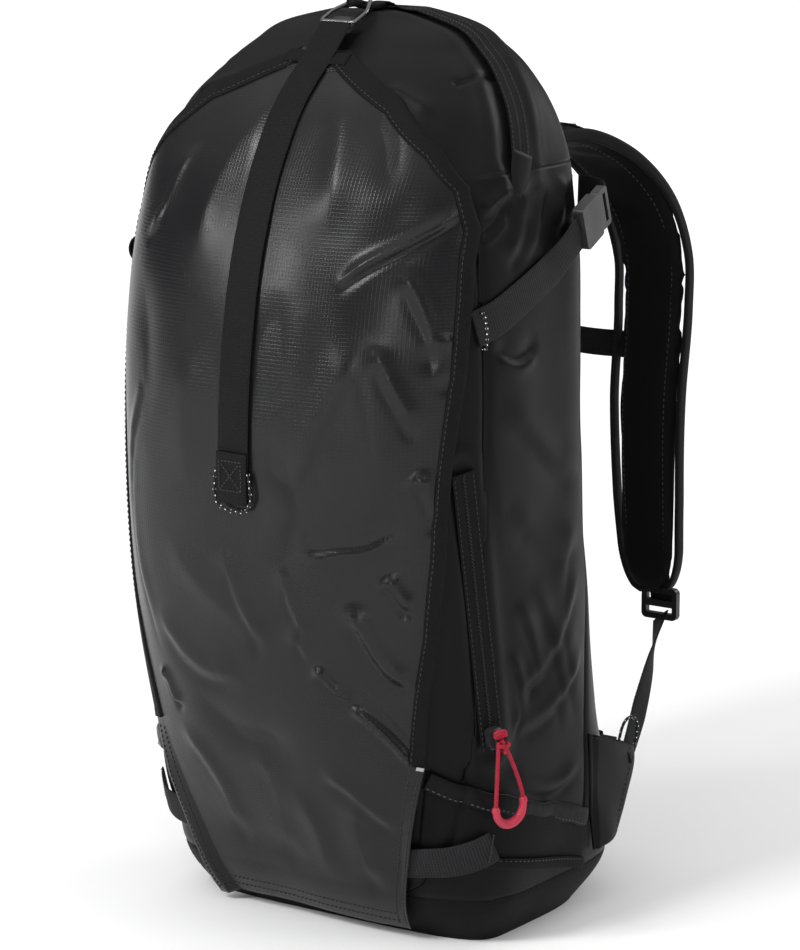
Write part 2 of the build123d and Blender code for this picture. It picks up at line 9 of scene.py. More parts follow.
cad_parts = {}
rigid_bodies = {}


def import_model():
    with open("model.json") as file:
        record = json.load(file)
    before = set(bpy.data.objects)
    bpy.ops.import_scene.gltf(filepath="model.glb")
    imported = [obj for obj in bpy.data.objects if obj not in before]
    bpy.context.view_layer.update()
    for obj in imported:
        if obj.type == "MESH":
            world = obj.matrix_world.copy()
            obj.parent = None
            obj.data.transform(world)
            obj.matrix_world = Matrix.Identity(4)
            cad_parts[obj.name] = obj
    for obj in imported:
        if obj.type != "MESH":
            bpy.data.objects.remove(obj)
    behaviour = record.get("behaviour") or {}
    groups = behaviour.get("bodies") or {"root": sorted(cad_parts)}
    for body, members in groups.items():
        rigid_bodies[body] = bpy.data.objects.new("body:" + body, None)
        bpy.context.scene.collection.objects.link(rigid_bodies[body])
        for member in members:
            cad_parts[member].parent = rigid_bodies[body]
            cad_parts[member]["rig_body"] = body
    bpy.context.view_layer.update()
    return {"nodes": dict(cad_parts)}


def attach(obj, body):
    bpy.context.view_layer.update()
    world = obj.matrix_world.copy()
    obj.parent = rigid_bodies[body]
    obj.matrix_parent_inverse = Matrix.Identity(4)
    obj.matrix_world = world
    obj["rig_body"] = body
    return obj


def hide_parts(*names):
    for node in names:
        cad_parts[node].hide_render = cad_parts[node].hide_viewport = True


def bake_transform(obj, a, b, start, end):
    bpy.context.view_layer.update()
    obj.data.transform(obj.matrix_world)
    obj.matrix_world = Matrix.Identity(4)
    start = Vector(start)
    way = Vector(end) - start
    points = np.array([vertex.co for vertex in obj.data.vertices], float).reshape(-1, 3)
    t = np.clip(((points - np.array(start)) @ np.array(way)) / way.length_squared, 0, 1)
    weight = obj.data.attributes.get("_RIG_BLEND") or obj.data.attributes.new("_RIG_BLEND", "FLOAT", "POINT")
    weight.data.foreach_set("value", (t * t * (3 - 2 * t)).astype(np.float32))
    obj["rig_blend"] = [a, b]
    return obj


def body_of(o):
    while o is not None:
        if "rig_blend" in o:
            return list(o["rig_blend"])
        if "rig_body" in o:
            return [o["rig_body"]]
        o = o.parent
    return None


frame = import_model()
NODES = frame["nodes"]
MM = 0.001
HANDS = {1: "right", -1: "left"}

# ---- camera ---------------------------------------------------------------------------------------
AZIMUTH = math.radians(35.0)
ELEVATION = math.radians(11.8)
DISTANCE = 2.82
AIM = Vector((0, 0, 0.318))
towards_camera = Vector((
    math.sin(AZIMUTH) * math.cos(ELEVATION), -math.cos(AZIMUTH) * math.cos(ELEVATION), math.sin(ELEVATION)
))
camera_data = bpy.data.cameras.new("camera")
camera_data.lens = 151.7
camera_data.shift_x = 0.0305
camera_data.shift_y = -0.0084
camera = bpy.data.objects.new("camera", camera_data)
camera.location = AIM + towards_camera * DISTANCE
camera.rotation_euler = towards_camera.to_track_quat("Z", "Y").to_euler()
bpy.context.scene.collection.objects.link(camera)
bpy.context.scene.camera = camera


# ---- materials ------------------------------------------------------------------------------------
class Finish:
    """A procedural material, built up one layer at a time on a Principled shader."""

    def __init__(self, name, colour, rough, metallic=0.0, sheen=0.0, coat=0.0, specular=0.5, ior=1.5):
        self.material = bpy.data.materials.new(name)
        self.material.use_nodes = True
        self.tree = self.material.node_tree
        self.shader = self.tree.nodes["Principled BSDF"]
        self.set(self.shader, "Base Color", (*colour, 1))
        self.set(self.shader, "Roughness", rough)
        self.set(self.shader, "Metallic", metallic)
        self.set(self.shader, "Sheen Weight", sheen)
        self.set(self.shader, "Sheen Roughness", 0.45)
        self.set(self.shader, "Coat Weight", coat)
        self.set(self.shader, "Coat Roughness", 0.25)
        self.set(self.shader, "Specular IOR Level", specular)
        self.set(self.shader, "IOR", ior)
        self.colour = colour
        self.rough = rough
        self.normal = None

    def set(self, node, socket, value):
        node.inputs[socket].default_value = value

    def add(self, kind, **values):
        node = self.tree.nodes.new(kind)
        for key, value in values.items():
            if key in node.inputs:
                node.inputs[key].default_value = value
            else:
                setattr(node, key, value)
        return node

    def link(self, source, target):
        self.tree.links.new(source, target)

    def where(self, flat, scale):
        """Coordinates on the cloth, from its UV map in metres, or in space."""
        coordinates = self.add("ShaderNodeTexCoord")
        mapping = self.add("ShaderNodeMapping")
        mapping.inputs["Scale"].default_value = scale
        self.link(coordinates.outputs["UV" if flat else "Object"], mapping.inputs["Vector"])
        return mapping.outputs["Vector"]

    def noise(self, scale, detail=4.0, flat=False, stretch=(1, 1, 1), rough=0.55):
        texture = self.add("ShaderNodeTexNoise", Scale=scale, Detail=detail, Roughness=rough)
        self.link(self.where(flat, stretch), texture.inputs["Vector"])
        return texture.outputs["Fac"]

    def bands(self, pitch, direction, flat=True, distortion=0.0):
        """Stripes a pitch apart, in metres, across one axis."""
        texture = self.add("ShaderNodeTexWave", Scale=1.0, Distortion=distortion)
        texture.bands_direction = direction
        stretch = 0.314159 / pitch
        self.link(self.where(flat, (stretch, stretch, stretch)), texture.inputs["Vector"])
        return texture.outputs["Fac"]

    def mix(self, kind, a, b):
        node = self.add("ShaderNodeMath", operation=kind)
        for socket, value in ((0, a), (1, b)):
            if isinstance(value, (int, float)):
                node.inputs[socket].default_value = value
            else:
                self.link(value, node.inputs[socket])
        return node.outputs[0]

    def ramp(self, fac, low, high, start=0.3, end=0.7):
        node = self.add("ShaderNodeMapRange")
        self.link(fac, node.inputs["Value"])
        for socket, value in (("From Min", start), ("From Max", end), ("To Min", low), ("To Max", high)):
            node.inputs[socket].default_value = value
        return node.outputs["Result"]

    def tint(self, fac, dark, light):
        """Colour runs from the base colour times dark to times light with fac."""
        node = self.add("ShaderNodeMix", data_type="RGBA")
        node.inputs[6].default_value = (*(c * dark for c in self.colour), 1)
        node.inputs[7].default_value = (*(min(c * light, 1) for c in self.colour), 1)
        self.link(fac, node.inputs[0])
        self.link(node.outputs[2], self.shader.inputs["Base Color"])
        return node.outputs[2]

    def roughen(self, fac, low, high):
        self.link(self.ramp(fac, low, high), self.shader.inputs["Roughness"])

    def bump(self, height, depth):
        """Relief of a depth in metres."""
        node = self.add("ShaderNodeBump", Distance=depth)
        self.link(height, node.inputs["Height"])
        if self.normal is not None:
            self.link(self.normal, node.inputs["Normal"])
        self.normal = node.outputs["Normal"]
        self.link(self.normal, self.shader.inputs["Normal"])


def cloth(name, colour, rough, pitch, relief, sheen=0.15, specular=0.35, mottle=0.25, coat=0.0):
    """Plain woven cloth, with threads a pitch apart and faint wear."""
    finish = Finish(name, colour, rough, sheen=sheen, specular=specular, coat=coat, ior=1.28)
    weave = finish.mix("MULTIPLY", finish.bands(pitch, "X"), finish.bands(pitch, "Y"))
    wear = finish.noise(14.0, 5.0)
    fine = finish.noise(260.0, 3.0)
    blend = finish.mix("ADD", finish.mix("MULTIPLY", weave, 0.35), finish.mix("MULTIPLY", wear, 0.65))
    finish.tint(blend, 1 - mottle, 1 + mottle)
    finish.roughen(wear, rough - 0.06, rough + 0.06)
    finish.bump(weave, relief)
    finish.bump(fine, relief * 0.8)
    return finish.material


def ripstop(name, colour):
    """Coated ripstop: a fine ground with thicker threads in a square grid."""
    finish = Finish(name, colour, 0.28, specular=0.65, ior=1.28)
    grid = finish.mix(
        "MAXIMUM", finish.ramp(finish.bands(0.0026, "X"), 0, 1, 0.72, 0.95),
        finish.ramp(finish.bands(0.0026, "Y"), 0, 1, 0.72, 0.95),
    )
    wear = finish.noise(9.0, 6.0)
    fine = finish.noise(420.0, 2.0)
    blend = finish.mix("ADD", finish.mix("MULTIPLY", grid, 0.3), finish.mix("MULTIPLY", wear, 0.7))
    finish.tint(blend, 0.82, 1.2)
    finish.roughen(wear, 0.24, 0.32)
    finish.bump(grid, 0.00004)
    finish.bump(fine, 0.00001)
    return finish.material


def webbing(name, colour, rib=0.0019, light=1.5):
    """Narrow webbing: ribs across, threads along."""
    finish = Finish(name, colour, 0.62, specular=0.25, ior=1.3)
    ribs = finish.bands(rib, "Y")
    ends = finish.bands(0.0013, "X")
    weave = finish.mix("MULTIPLY", ribs, ends)
    finish.tint(finish.mix("ADD", weave, finish.mix("MULTIPLY", finish.noise(60.0), 0.3)), 0.6, light)
    finish.bump(weave, 0.00035)
    return finish.material


def moulded(name, colour, rough=0.42, grain=900.0, metallic=0.0, coat=0.0):
    """Moulded or painted hard surface with a fine grain and rubbed edges."""
    finish = Finish(name, colour, rough, metallic=metallic, coat=coat)
    grain_noise = finish.noise(grain, 2.0)
    wear = finish.noise(38.0, 5.0)
    finish.tint(wear, 0.8, 1.35)
    finish.roughen(wear, rough - 0.08, rough + 0.1)
    finish.bump(grain_noise, 0.00005)
    return finish.material


def twisted(name, colour):
    """Braided cord."""
    finish = Finish(name, colour, 0.55, specular=0.25)
    braid = finish.mix("MULTIPLY", finish.bands(0.0016, "DIAGONAL", False), finish.bands(0.0016, "Z", False))
    finish.tint(braid, 0.72, 1.25)
    finish.bump(braid, 0.0002)
    return finish.material


BAG_BLACK = (0.0044, 0.0044, 0.005)
MAT = {
    "bag": cloth("bag_nylon", BAG_BLACK, 0.36, 0.0008, 0.00006, sheen=0.0, specular=0.24),
    "lid": cloth("lid_nylon", (0.0054, 0.0054, 0.006), 0.4, 0.0008, 0.00006, sheen=0.0, specular=0.28),
    "base": cloth("base_nylon", (0.0048, 0.0048, 0.0052), 0.55, 0.0014, 0.00012, sheen=0.0, specular=0.2),
    "flap": ripstop("coated_ripstop", (0.0075, 0.0075, 0.0083)),
    "binding": webbing("binding_tape", (0.0055, 0.0055, 0.006), 0.0011, 1.3),
    "webbing": webbing("black_webbing", (0.0065, 0.0065, 0.007)),
    "grey_webbing": webbing("grey_webbing", (0.012, 0.012, 0.013), 0.0022, 2.4),
    "zip": webbing("zip_tape", (0.0052, 0.0052, 0.0056), 0.0009, 1.3),
    "coil": moulded("zip_coil", (0.004, 0.004, 0.0045), 0.6),
    "thread": moulded("black_thread", (0.012, 0.012, 0.0125), 0.6),
    "pale_thread": moulded("pale_thread", (0.05, 0.05, 0.05), 0.6),
    "steel": moulded("hook_wire", (0.16, 0.16, 0.165), 0.32, 600.0, 1.0),
    "slider": moulded("slider_metal", (0.05, 0.05, 0.053), 0.3, 700.0, 0.6),
    "plastic": moulded("buckle_acetal", (0.009, 0.009, 0.0095), 0.4),
    "grey_plastic": moulded("buckle_grey", (0.013, 0.013, 0.014), 0.42),
    "red_cord": twisted("red_cord", (0.36, 0.01, 0.03)),
    "red_grip": moulded("red_grip", (0.38, 0.012, 0.038), 0.45),
    "strap": cloth(
        "harness_cloth", (0.0052, 0.0052, 0.0056), 0.75, 0.0016, 0.00014, sheen=0.02, specular=0.12,
    ),
    "mesh": cloth("spacer_mesh", (0.008, 0.008, 0.0085), 0.8, 0.0026, 0.0004, sheen=0.04, specular=0.15),
    "cord": twisted("black_cord", (0.006, 0.006, 0.0065)),
    "fleck": moulded("reflective_fleck", (0.8, 0.8, 0.8), 0.35),
    # Pale grey for the small strip over the folded end of the binding.
    "pale_end": moulded("pale_grey_binding_end", (0.3, 0.3, 0.31), 0.6),
    "sheet": moulded("frame_polyethylene", (0.8, 0.8, 0.77), 0.5),
    "alloy": moulded("stay_alloy", (0.7, 0.7, 0.72), 0.35, 300.0, 1.0),
    "airbag": cloth("airbag_cloth", (0.68, 0.13, 0.03), 0.45, 0.0006, 0.00008),
    "cylinder": moulded("cylinder_paint", (0.1, 0.1, 0.11), 0.3, 400.0, 0.4, 0.4),
    "trigger": moulded("trigger_grip", (0.7, 0.1, 0.03), 0.45),
    "rubber": moulded("black_rubber", (0.012, 0.012, 0.012), 0.6),
}


def refinish(names, material):
    """Gives pieces carried over from the frame another material."""
    for name in names:
        NODES[name].data.materials.clear()
        NODES[name].data.materials.append(MAT[material])


# ---- mesh helpers ---------------------------------------------------------------------------------
def to_object(name, mesh, material, body):
    piece = bpy.data.objects.new(name, mesh)
    bpy.context.scene.collection.objects.link(piece)
    if material:
        piece.data.materials.append(MAT[material])
    for polygon in piece.data.polygons:
        polygon.use_smooth = True
    if body:
        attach(piece, body)
    return piece


def grid_mesh(name, points, uv, material, body, closed=False, thick=0.0):
    """A sheet over a grid of points: rows by columns, with its UV map in metres."""
    rows, columns = points.shape[:2]
    mesh = bpy.data.meshes.new(name)
    faces = []
    corners = []
    last = columns if closed else columns - 1
    for r in range(rows - 1):
        for c in range(last):
            d = (c + 1) % columns
            faces.append((r * columns + c, r * columns + d, (r + 1) * columns + d, (r + 1) * columns + c))
            corners += [(r, c), (r, c + 1), (r + 1, c + 1), (r + 1, c)]
    mesh.from_pydata(points.reshape(-1, 3).tolist(), [], faces)
    layer = mesh.uv_layers.new(name="UVMap")
    wide = np.concatenate([uv, uv[:, -1:] + (uv[:, -1:] - uv[:, -2:-1])], axis=1)
    flat = np.array([wide[r, c] for r, c in corners]).reshape(-1)
    layer.data.foreach_set("uv", flat)
    mesh.update()
    piece = to_object(name, mesh, material, body)
    if thick:
        shell = piece.modifiers.new("thickness", "SOLIDIFY")
        shell.thickness = thick
        shell.offset = -1
        apply(piece)
    return piece


def apply(piece):
    """Applies every modifier on a piece."""
    graph = bpy.context.evaluated_depsgraph_get()
    mesh = bpy.data.meshes.new_from_object(piece.evaluated_get(graph))
    piece.modifiers.clear()
    old = piece.data
    piece.data = mesh
    bpy.data.meshes.remove(old)


def unit(vectors):
    return vectors / np.maximum(np.linalg.norm(vectors, axis=-1, keepdims=True), 1e-12)


def smooth_line(points, count):
    """Points evenly spaced along a smooth curve through the given ones."""
    p = np.array(points, float)
    chord = np.concatenate([[0], np.cumsum(np.linalg.norm(np.diff(p, axis=0), axis=1))])
    slopes = np.gradient(p, chord, axis=0)
    fine = np.linspace(0, chord[-1], 600)
    i = np.clip(np.searchsorted(chord, fine) - 1, 0, len(p) - 2)
    h = (chord[i + 1] - chord[i])[:, None]
    t = ((fine - chord[i]) / (chord[i + 1] - chord[i]))[:, None]
    line = (
        (2 * t ** 3 - 3 * t ** 2 + 1) * p[i] + (t ** 3 - 2 * t ** 2 + t) * h * slopes[i]
        + (3 * t ** 2 - 2 * t ** 3) * p[i + 1] + (t ** 3 - t ** 2) * h * slopes[i + 1]
    )
    run = np.concatenate([[0], np.cumsum(np.linalg.norm(np.diff(line, axis=0), axis=1))])
    even = np.linspace(0, run[-1], count)
    return np.stack([np.interp(even, run, line[:, k]) for k in range(3)], axis=1)


def ribbon(name, path, normals, width, thick, material, body, crown=0.0, step=0.0025):
    """Webbing of a width and thickness along a path, its face turned along the normals."""
    path = np.array(path, float)
    length = np.linalg.norm(np.diff(path, axis=0), axis=1).sum()
    count = max(6, int(length / step))
    ends = np.concatenate([[0], np.cumsum(np.linalg.norm(np.diff(path, axis=0), axis=1))])
    line = smooth_line(path, count) if len(path) > 2 else np.linspace(path[0], path[-1], count)
    even = np.linspace(0, ends[-1], count)
    normals = np.array(normals, float)
    if normals.ndim == 1:
        normals = np.repeat(normals[None], len(path), axis=0)
    face = unit(np.stack([np.interp(even, ends, normals[:, k]) for k in range(3)], axis=1))
    tangent = unit(np.gradient(line, axis=0))
    side = unit(np.cross(tangent, face))
    face = unit(np.cross(side, tangent))
    widths = np.interp(even, ends, np.broadcast_to(np.array(width, float), len(path)))
    half = thick / 2
    profile = [
        (-0.5, -0.4), (-0.46, -1), (-0.2, -1), (0.2, -1), (0.46, -1), (0.5, -0.4), (0.5, 0.4),
        (0.46, 1), (0.2, 1), (0, 1), (-0.2, 1), (-0.46, 1), (-0.5, 0.4),
    ]
    rows = []
    for s, n in profile:
        bulge = crown * (1 - (2 * s) ** 2) * (1 if n > 0 else 0)
        rows.append(line + side * (s * widths)[:, None] + face * (n * half + bulge))
    points = np.stack(rows, axis=1)
    uv = np.zeros((count, len(profile), 2))
    uv[:, :, 0] = np.array([s for s, n in profile])[None] * widths[:, None]
    uv[:, :, 1] = even[:, None]
    piece = grid_mesh(name, points, uv, material, body, closed=True)
    close_ends(piece, count, len(profile))
    return piece


def close_ends(piece, rows, columns):
    """Fills the two open ends of a tube-like grid."""
    work = bmesh.new()
    work.from_mesh(piece.data)
    work.verts.ensure_lookup_table()
    for row in (0, rows - 1):
        ring = [work.verts[row * columns + c] for c in range(columns)]
        work.faces.new(ring if row else ring[::-1])
    bmesh.ops.recalc_face_normals(work, faces=work.faces)
    work.to_mesh(piece.data)
    work.free()


def join(name, pieces, body):
    """One piece from several on the same body."""
    work = bmesh.new()
    materials = []
    for piece in pieces:
        start = len(work.faces)
        work.from_mesh(piece.data)
        work.faces.ensure_lookup_table()
        slots = []
        for material in piece.data.materials:
            if material not in materials:
                materials.append(material)
            slots.append(materials.index(material))
        for face in work.faces[start:]:
            face.material_index = slots[face.material_index] if slots else 0
    mesh = bpy.data.meshes.new(name)
    work.to_mesh(mesh)
    work.free()
    for material in materials:
        mesh.materials.append(material)
    for piece in pieces:
        bpy.data.objects.remove(piece)
    return to_object(name, mesh, None, body)


def stitches(name, path, normals, material, body, length=0.0032, gap=0.0016, radius=0.00035):
    """A row of thread stitches along a path on a surface."""
    path = np.array(path, float)
    normals = np.array(normals, float)
    if normals.ndim == 1:
        normals = np.repeat(normals[None], len(path), axis=0)
    run = np.concatenate([[0], np.cumsum(np.linalg.norm(np.diff(path, axis=0), axis=1))])
    starts = np.arange(0, run[-1] - length, length + gap)
    profile = ((-1.0, 0.15), (-0.75, 0.8), (0.0, 1.0), (0.75, 0.8), (1.0, 0.15))
    verts = []
    faces = []
    sides = 6
    at = lambda d, values: np.array([np.interp(d, run, values[:, k]) for k in range(3)])
    for begin in starts:
        middle = at(begin + length / 2, path)
        along = unit(at(begin + length, path) - at(begin, path))
        up = unit(at(begin + length / 2, normals))
        side = unit(np.cross(along, up))
        base = len(verts)
        for s, size in profile:
            centre = middle + along * s * length / 2 + up * (radius * (0.9 - 1.3 * s * s))
            for k in range(sides):
                angle = 2 * math.pi * k / sides
                verts.append(centre + (side * math.cos(angle) * 1.3 + up * math.sin(angle)) * radius * size)
        for ring in range(len(profile) - 1):
            for k in range(sides):
                a = base + ring * sides + k
                b = base + ring * sides + (k + 1) % sides
                faces.append((a, b, b + sides, a + sides))
        faces.append(tuple(base + k for k in reversed(range(sides))))
        faces.append(tuple(base + (len(profile) - 1) * sides + k for k in range(sides)))
    mesh = bpy.data.meshes.new(name)
    mesh.from_pydata([tuple(v) for v in verts], [], faces)
    return to_object(name, mesh, material, body)


def tube(name, path, radius, material, body, sides=10):
    """A round cord or wire along a smooth curve near the given points."""
    data = bpy.data.curves.new(name, "CURVE")
    data.dimensions = "3D"
    data.bevel_depth = radius
    data.bevel_resolution = max(1, sides // 4)
    data.resolution_u = 8
    data.use_fill_caps = True
    spline = data.splines.new("NURBS")
    spline.points.add(len(path) - 1)
    for point, place in zip(spline.points, path):
        point.co = (*place, 1)
    spline.order_u = 3
    spline.use_endpoint_u = True
    piece = bpy.data.objects.new(name, data)
    bpy.context.scene.collection.objects.link(piece)
    data.materials.append(MAT[material])
    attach(piece, body)
    return piece


def meshed(piece):
    """A curve piece turned into a mesh piece of the same name."""
    graph = bpy.context.evaluated_depsgraph_get()
    mesh = bpy.data.meshes.new_from_object(piece.evaluated_get(graph))
    name = piece.name
    body = piece["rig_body"] if "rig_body" in piece else body_of(piece)
    bpy.data.objects.remove(piece)
    return to_object(name, mesh, None, body)


# ---- red cord pull of the side zip: its cord comes first ------------------------------------------
side_top = Vector((139.5, -92.3, 346)) * MM
side_bottom = Vector((142.5, -59.2, 150)) * MM
side_up = (side_top - side_bottom).normalized()
side_out = Vector((math.cos(math.radians(21)), -math.sin(math.radians(21)), 0))
side_across = side_up.cross(side_out).normalized()
side_face = side_across.cross(side_up).normalized()
PULL_ROUTE = (
    (0, 0), (4, -9), (8, -22), (11.5, -36), (13.5, -50), (8.5, -61), (-4, -63), (-11.5, -54), (-9, -40),
    (-6.5, -25), (-4, -11), (-2.4, -1),
)
pull_origin = side_bottom + side_face * 0.0115 + side_up * 0.009
pull_points = [pull_origin + side_across * x * MM + side_up * y * MM for x, y in PULL_ROUTE]
pull_cord = tube("pull_cord_red", pull_points, 0.0015, "red_cord", "red_pull", 12)
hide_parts("pull_cord")

# ---- shape of the bag -----------------------------------------------------------------------------
# Height, half width, front depth, back depth and front roundness of the bag, in millimetres
STATIONS = np.array((
    (0, 122, 44, 120, 4.6), (25, 138, 66, 138, 3.8), (70, 145, 88, 138, 3.2), (150, 147, 122, 112, 2.8),
    (250, 149, 146, 84, 2.8), (350, 149, 156, 73, 2.8), (430, 148, 152, 71, 2.8), (500, 144, 136, 73, 2.8),
    (550, 134, 113, 76, 2.8), (590, 113, 82, 72, 2.8), (615, 88, 50, 64, 2.8), (630, 62, 26, 55, 2.8),
    (638, 30, 8, 44, 2.8),
))
BACK_ROUND = 4.5
LOG_EDGE = 638.0


def station(z):
    """Half width, front depth, back depth and roundness at heights z, in millimetres, smoothly joined."""
    z = np.clip(np.asarray(z, float), 0, LOG_EDGE)
    heights = STATIONS[:, 0]
    i = np.clip(np.searchsorted(heights, z) - 1, 0, len(heights) - 2)
    h = heights[i + 1] - heights[i]
    t = (z - heights[i]) / h
    result = []
    for column in range(1, 5):
        values = STATIONS[:, column]
        slope = np.gradient(values, heights)
        result.append(
            (2 * t ** 3 - 3 * t ** 2 + 1) * values[i] + (t ** 3 - 2 * t ** 2 + t) * h * slope[i]
            + (3 * t ** 2 - 2 * t ** 3) * values[i + 1] + (t ** 3 - t ** 2) * h * slope[i + 1]
        )
    return result


def around(angle, z, out=0.0):
    """Points on the bag at an angle from the wearer's right, towards the harness, and a height."""
    wide, front, back, round_front = station(z)
    c, s = np.cos(angle), np.sin(angle)
    power = np.where(s > 0, BACK_ROUND, round_front)
    depth = np.where(s > 0, back, front) + out
    reach = ((np.abs(c) / (wide + out)) ** power + (np.abs(s) / depth) ** power) ** (-1 / power)
    return np.stack([reach * c, reach * s, np.broadcast_to(z, reach.shape)], axis=-1) * MM


def front(x, z, out=0.0):
    """The point on the bag's front at x across and z up, in millimetres."""
    x, z = np.broadcast_arrays(np.asarray(x, float), np.asarray(z, float))
    wide, deep, back, power = station(z)
    share = np.clip(1 - (np.abs(x) / (wide + out)) ** power, 0, 1)
    return np.stack([x, -(deep + out) * share ** (1 / power), z], axis=-1) * MM


def side(y, z, out=0.0, hand=1):
    """The point on the bag's side at y back and z up."""
    y, z = np.broadcast_arrays(np.asarray(y, float), np.asarray(z, float))
    wide, deep, back, round_front = station(z)
    power = np.where(y > 0, BACK_ROUND, round_front)
    depth = np.where(y > 0, back, deep) + out
    share = np.clip(1 - (np.abs(y) / depth) ** power, 0, 1)
    return np.stack([hand * (wide + out) * share ** (1 / power), y, z], axis=-1) * MM


def rear(x, z, out=0.0):
    """The point on the bag's back at x across and z up."""
    x, z = np.broadcast_arrays(np.asarray(x, float), np.asarray(z, float))
    wide, deep, back, power = station(z)
    share = np.clip(1 - (np.abs(x) / (wide + out)) ** BACK_ROUND, 0, 1)
    return np.stack([x, (back + out) * share ** (1 / BACK_ROUND), z], axis=-1) * MM


def outward(points):
    """Directions away from the bag at points near its surface."""
    p = np.asarray(points, float) / MM
    angle = np.arctan2(p[..., 1], p[..., 0])
    step = 0.01
    turn = around(angle + step, p[..., 2]) - around(angle - step, p[..., 2])
    high = np.clip(p[..., 2], 2, LOG_EDGE - 1)
    rise = around(angle, high + 1) - around(angle, high - 1)
    return unit(np.cross(turn, rise))


# ---- folds and seams of the cloth -----------------------------------------------------------------
def distance_to(points, line):
    """Distance from each point to a line of points, and how far along the line it is, from 0 to 1."""
    best = np.full(points.shape[:-1], 1e9)
    along = np.zeros(points.shape[:-1])
    count = len(line) - 1
    for k in range(count):
        a, b = line[k], line[k + 1]
        ab = b - a
        t = np.clip(((points - a) @ ab) / max(ab @ ab, 1e-12), 0, 1)
        d = np.linalg.norm(points - (a + t[..., None] * ab), axis=-1)
        nearer = d < best
        best = np.where(nearer, d, best)
        along = np.where(nearer, (k + t) / count, along)
    return best, along


def fold(points, line, height, width, taper=0.25, sharp=1.6):
    """A ridge, or a valley for a negative height, along a line, fading at its ends."""
    d, s = distance_to(points, line)
    fade = np.clip(np.minimum(s, 1 - s) / taper, 0, 1)
    fade = fade * fade * (3 - 2 * fade)
    return height * MM * np.exp(-np.abs(d / (width * MM)) ** sharp) * fade


def pleat(points, line, height, width, taper=0.25):
    """A fold: a ridge with a tighter valley beside it."""
    shift = np.array([0, 0, -width * 1.1 * MM])
    valley = fold(points, line + shift, height * 0.8, width * 0.7, taper)
    return fold(points, line, height, width, taper) - valley


def rumple(points, scale, seed, stretch=(1, 1, 1)):
    """Soft uneven lumps between -1 and 1, a scale apart in metres."""
    flat = points.reshape(-1, 3) * np.array(stretch) / scale + seed * 17.3
    values = [noise.noise(Vector(p)) for p in flat]
    return np.array(values).reshape(points.shape[:-1])


def creases(points, scale, seed, stretch=(1, 1, 1), octaves=3):
    """Sharp-edged wrinkles, like cloth pulled between its seams."""
    flat = points.reshape(-1, 3) * np.array(stretch) / scale + seed * 11.9
    values = [noise.ridged_multi_fractal(Vector(p), 0.9, 2.1, octaves, 1.0, 2.0) for p in flat]
    values = np.array(values).reshape(points.shape[:-1])
    return values - values.mean()


ANGLES = 560
LEVELS = 360
SEAM_FRONT = -72.0
SEAM_BACK = 56.0
SEAM_BASE = 36.0
FLAP_EDGE = np.array((
    (20, 616), (77, 590), (112, 559), (130, 535), (138, 508), (140, 462), (140, 410), (136, 350), (133, 288),
    (128, 232), (119, 176), (114, 141), (102, 92), (82, 10),
), float)


def flap_half_width(z):
    return np.interp(z, FLAP_EDGE[::-1, 1], FLAP_EDGE[::-1, 0])


ZIP_CENTRE = np.array((0, -35, 513)) * MM
ZIP_LEAN = math.radians(24.0)
zip_normal = np.array((0, math.cos(ZIP_LEAN), -math.sin(ZIP_LEAN)))
zip_rise = np.array((0, math.sin(ZIP_LEAN), math.cos(ZIP_LEAN)))


def zip_arch(count, start=16.0, out=1.0):
    """Points on the bag along the zip over the top, from the wearer's left to the right."""
    angles = np.radians(np.linspace(180 - start, start, count))
    spots = []
    for angle in angles:
        ray = np.array((math.cos(angle), 0, 0)) + zip_rise * math.sin(angle)
        low, high = 0.05, 0.2
        for _ in range(26):
            middle = (low + high) / 2
            p = (ZIP_CENTRE + ray * middle) / MM
            wide, deep, back, power = station(p[2])
            power = BACK_ROUND if p[1] > 0 else power
            depth = back if p[1] > 0 else deep
            inside = p[2] < LOG_EDGE and (abs(p[0]) / wide) ** power + (abs(p[1]) / depth) ** power < 1
            low, high = (middle, high) if inside else (low, middle)
        spots.append(ZIP_CENTRE + ray * (low + out * MM))
    return np.array(spots)


SIDE_ZIP = np.array([side_bottom + side_up * d for d in np.linspace(0.0, 0.1988, 30)])
TOP_ZIP = zip_arch(90)


def line_on(place, spots, count=14, **values):
    """A smooth line on the bag through spots, given in the coordinates of one of its faces."""
    spots = np.array(spots, float)
    even = smooth_line(np.column_stack([spots, np.zeros(len(spots))]), count)
    return place(even[:, 0], even[:, 1], **values)


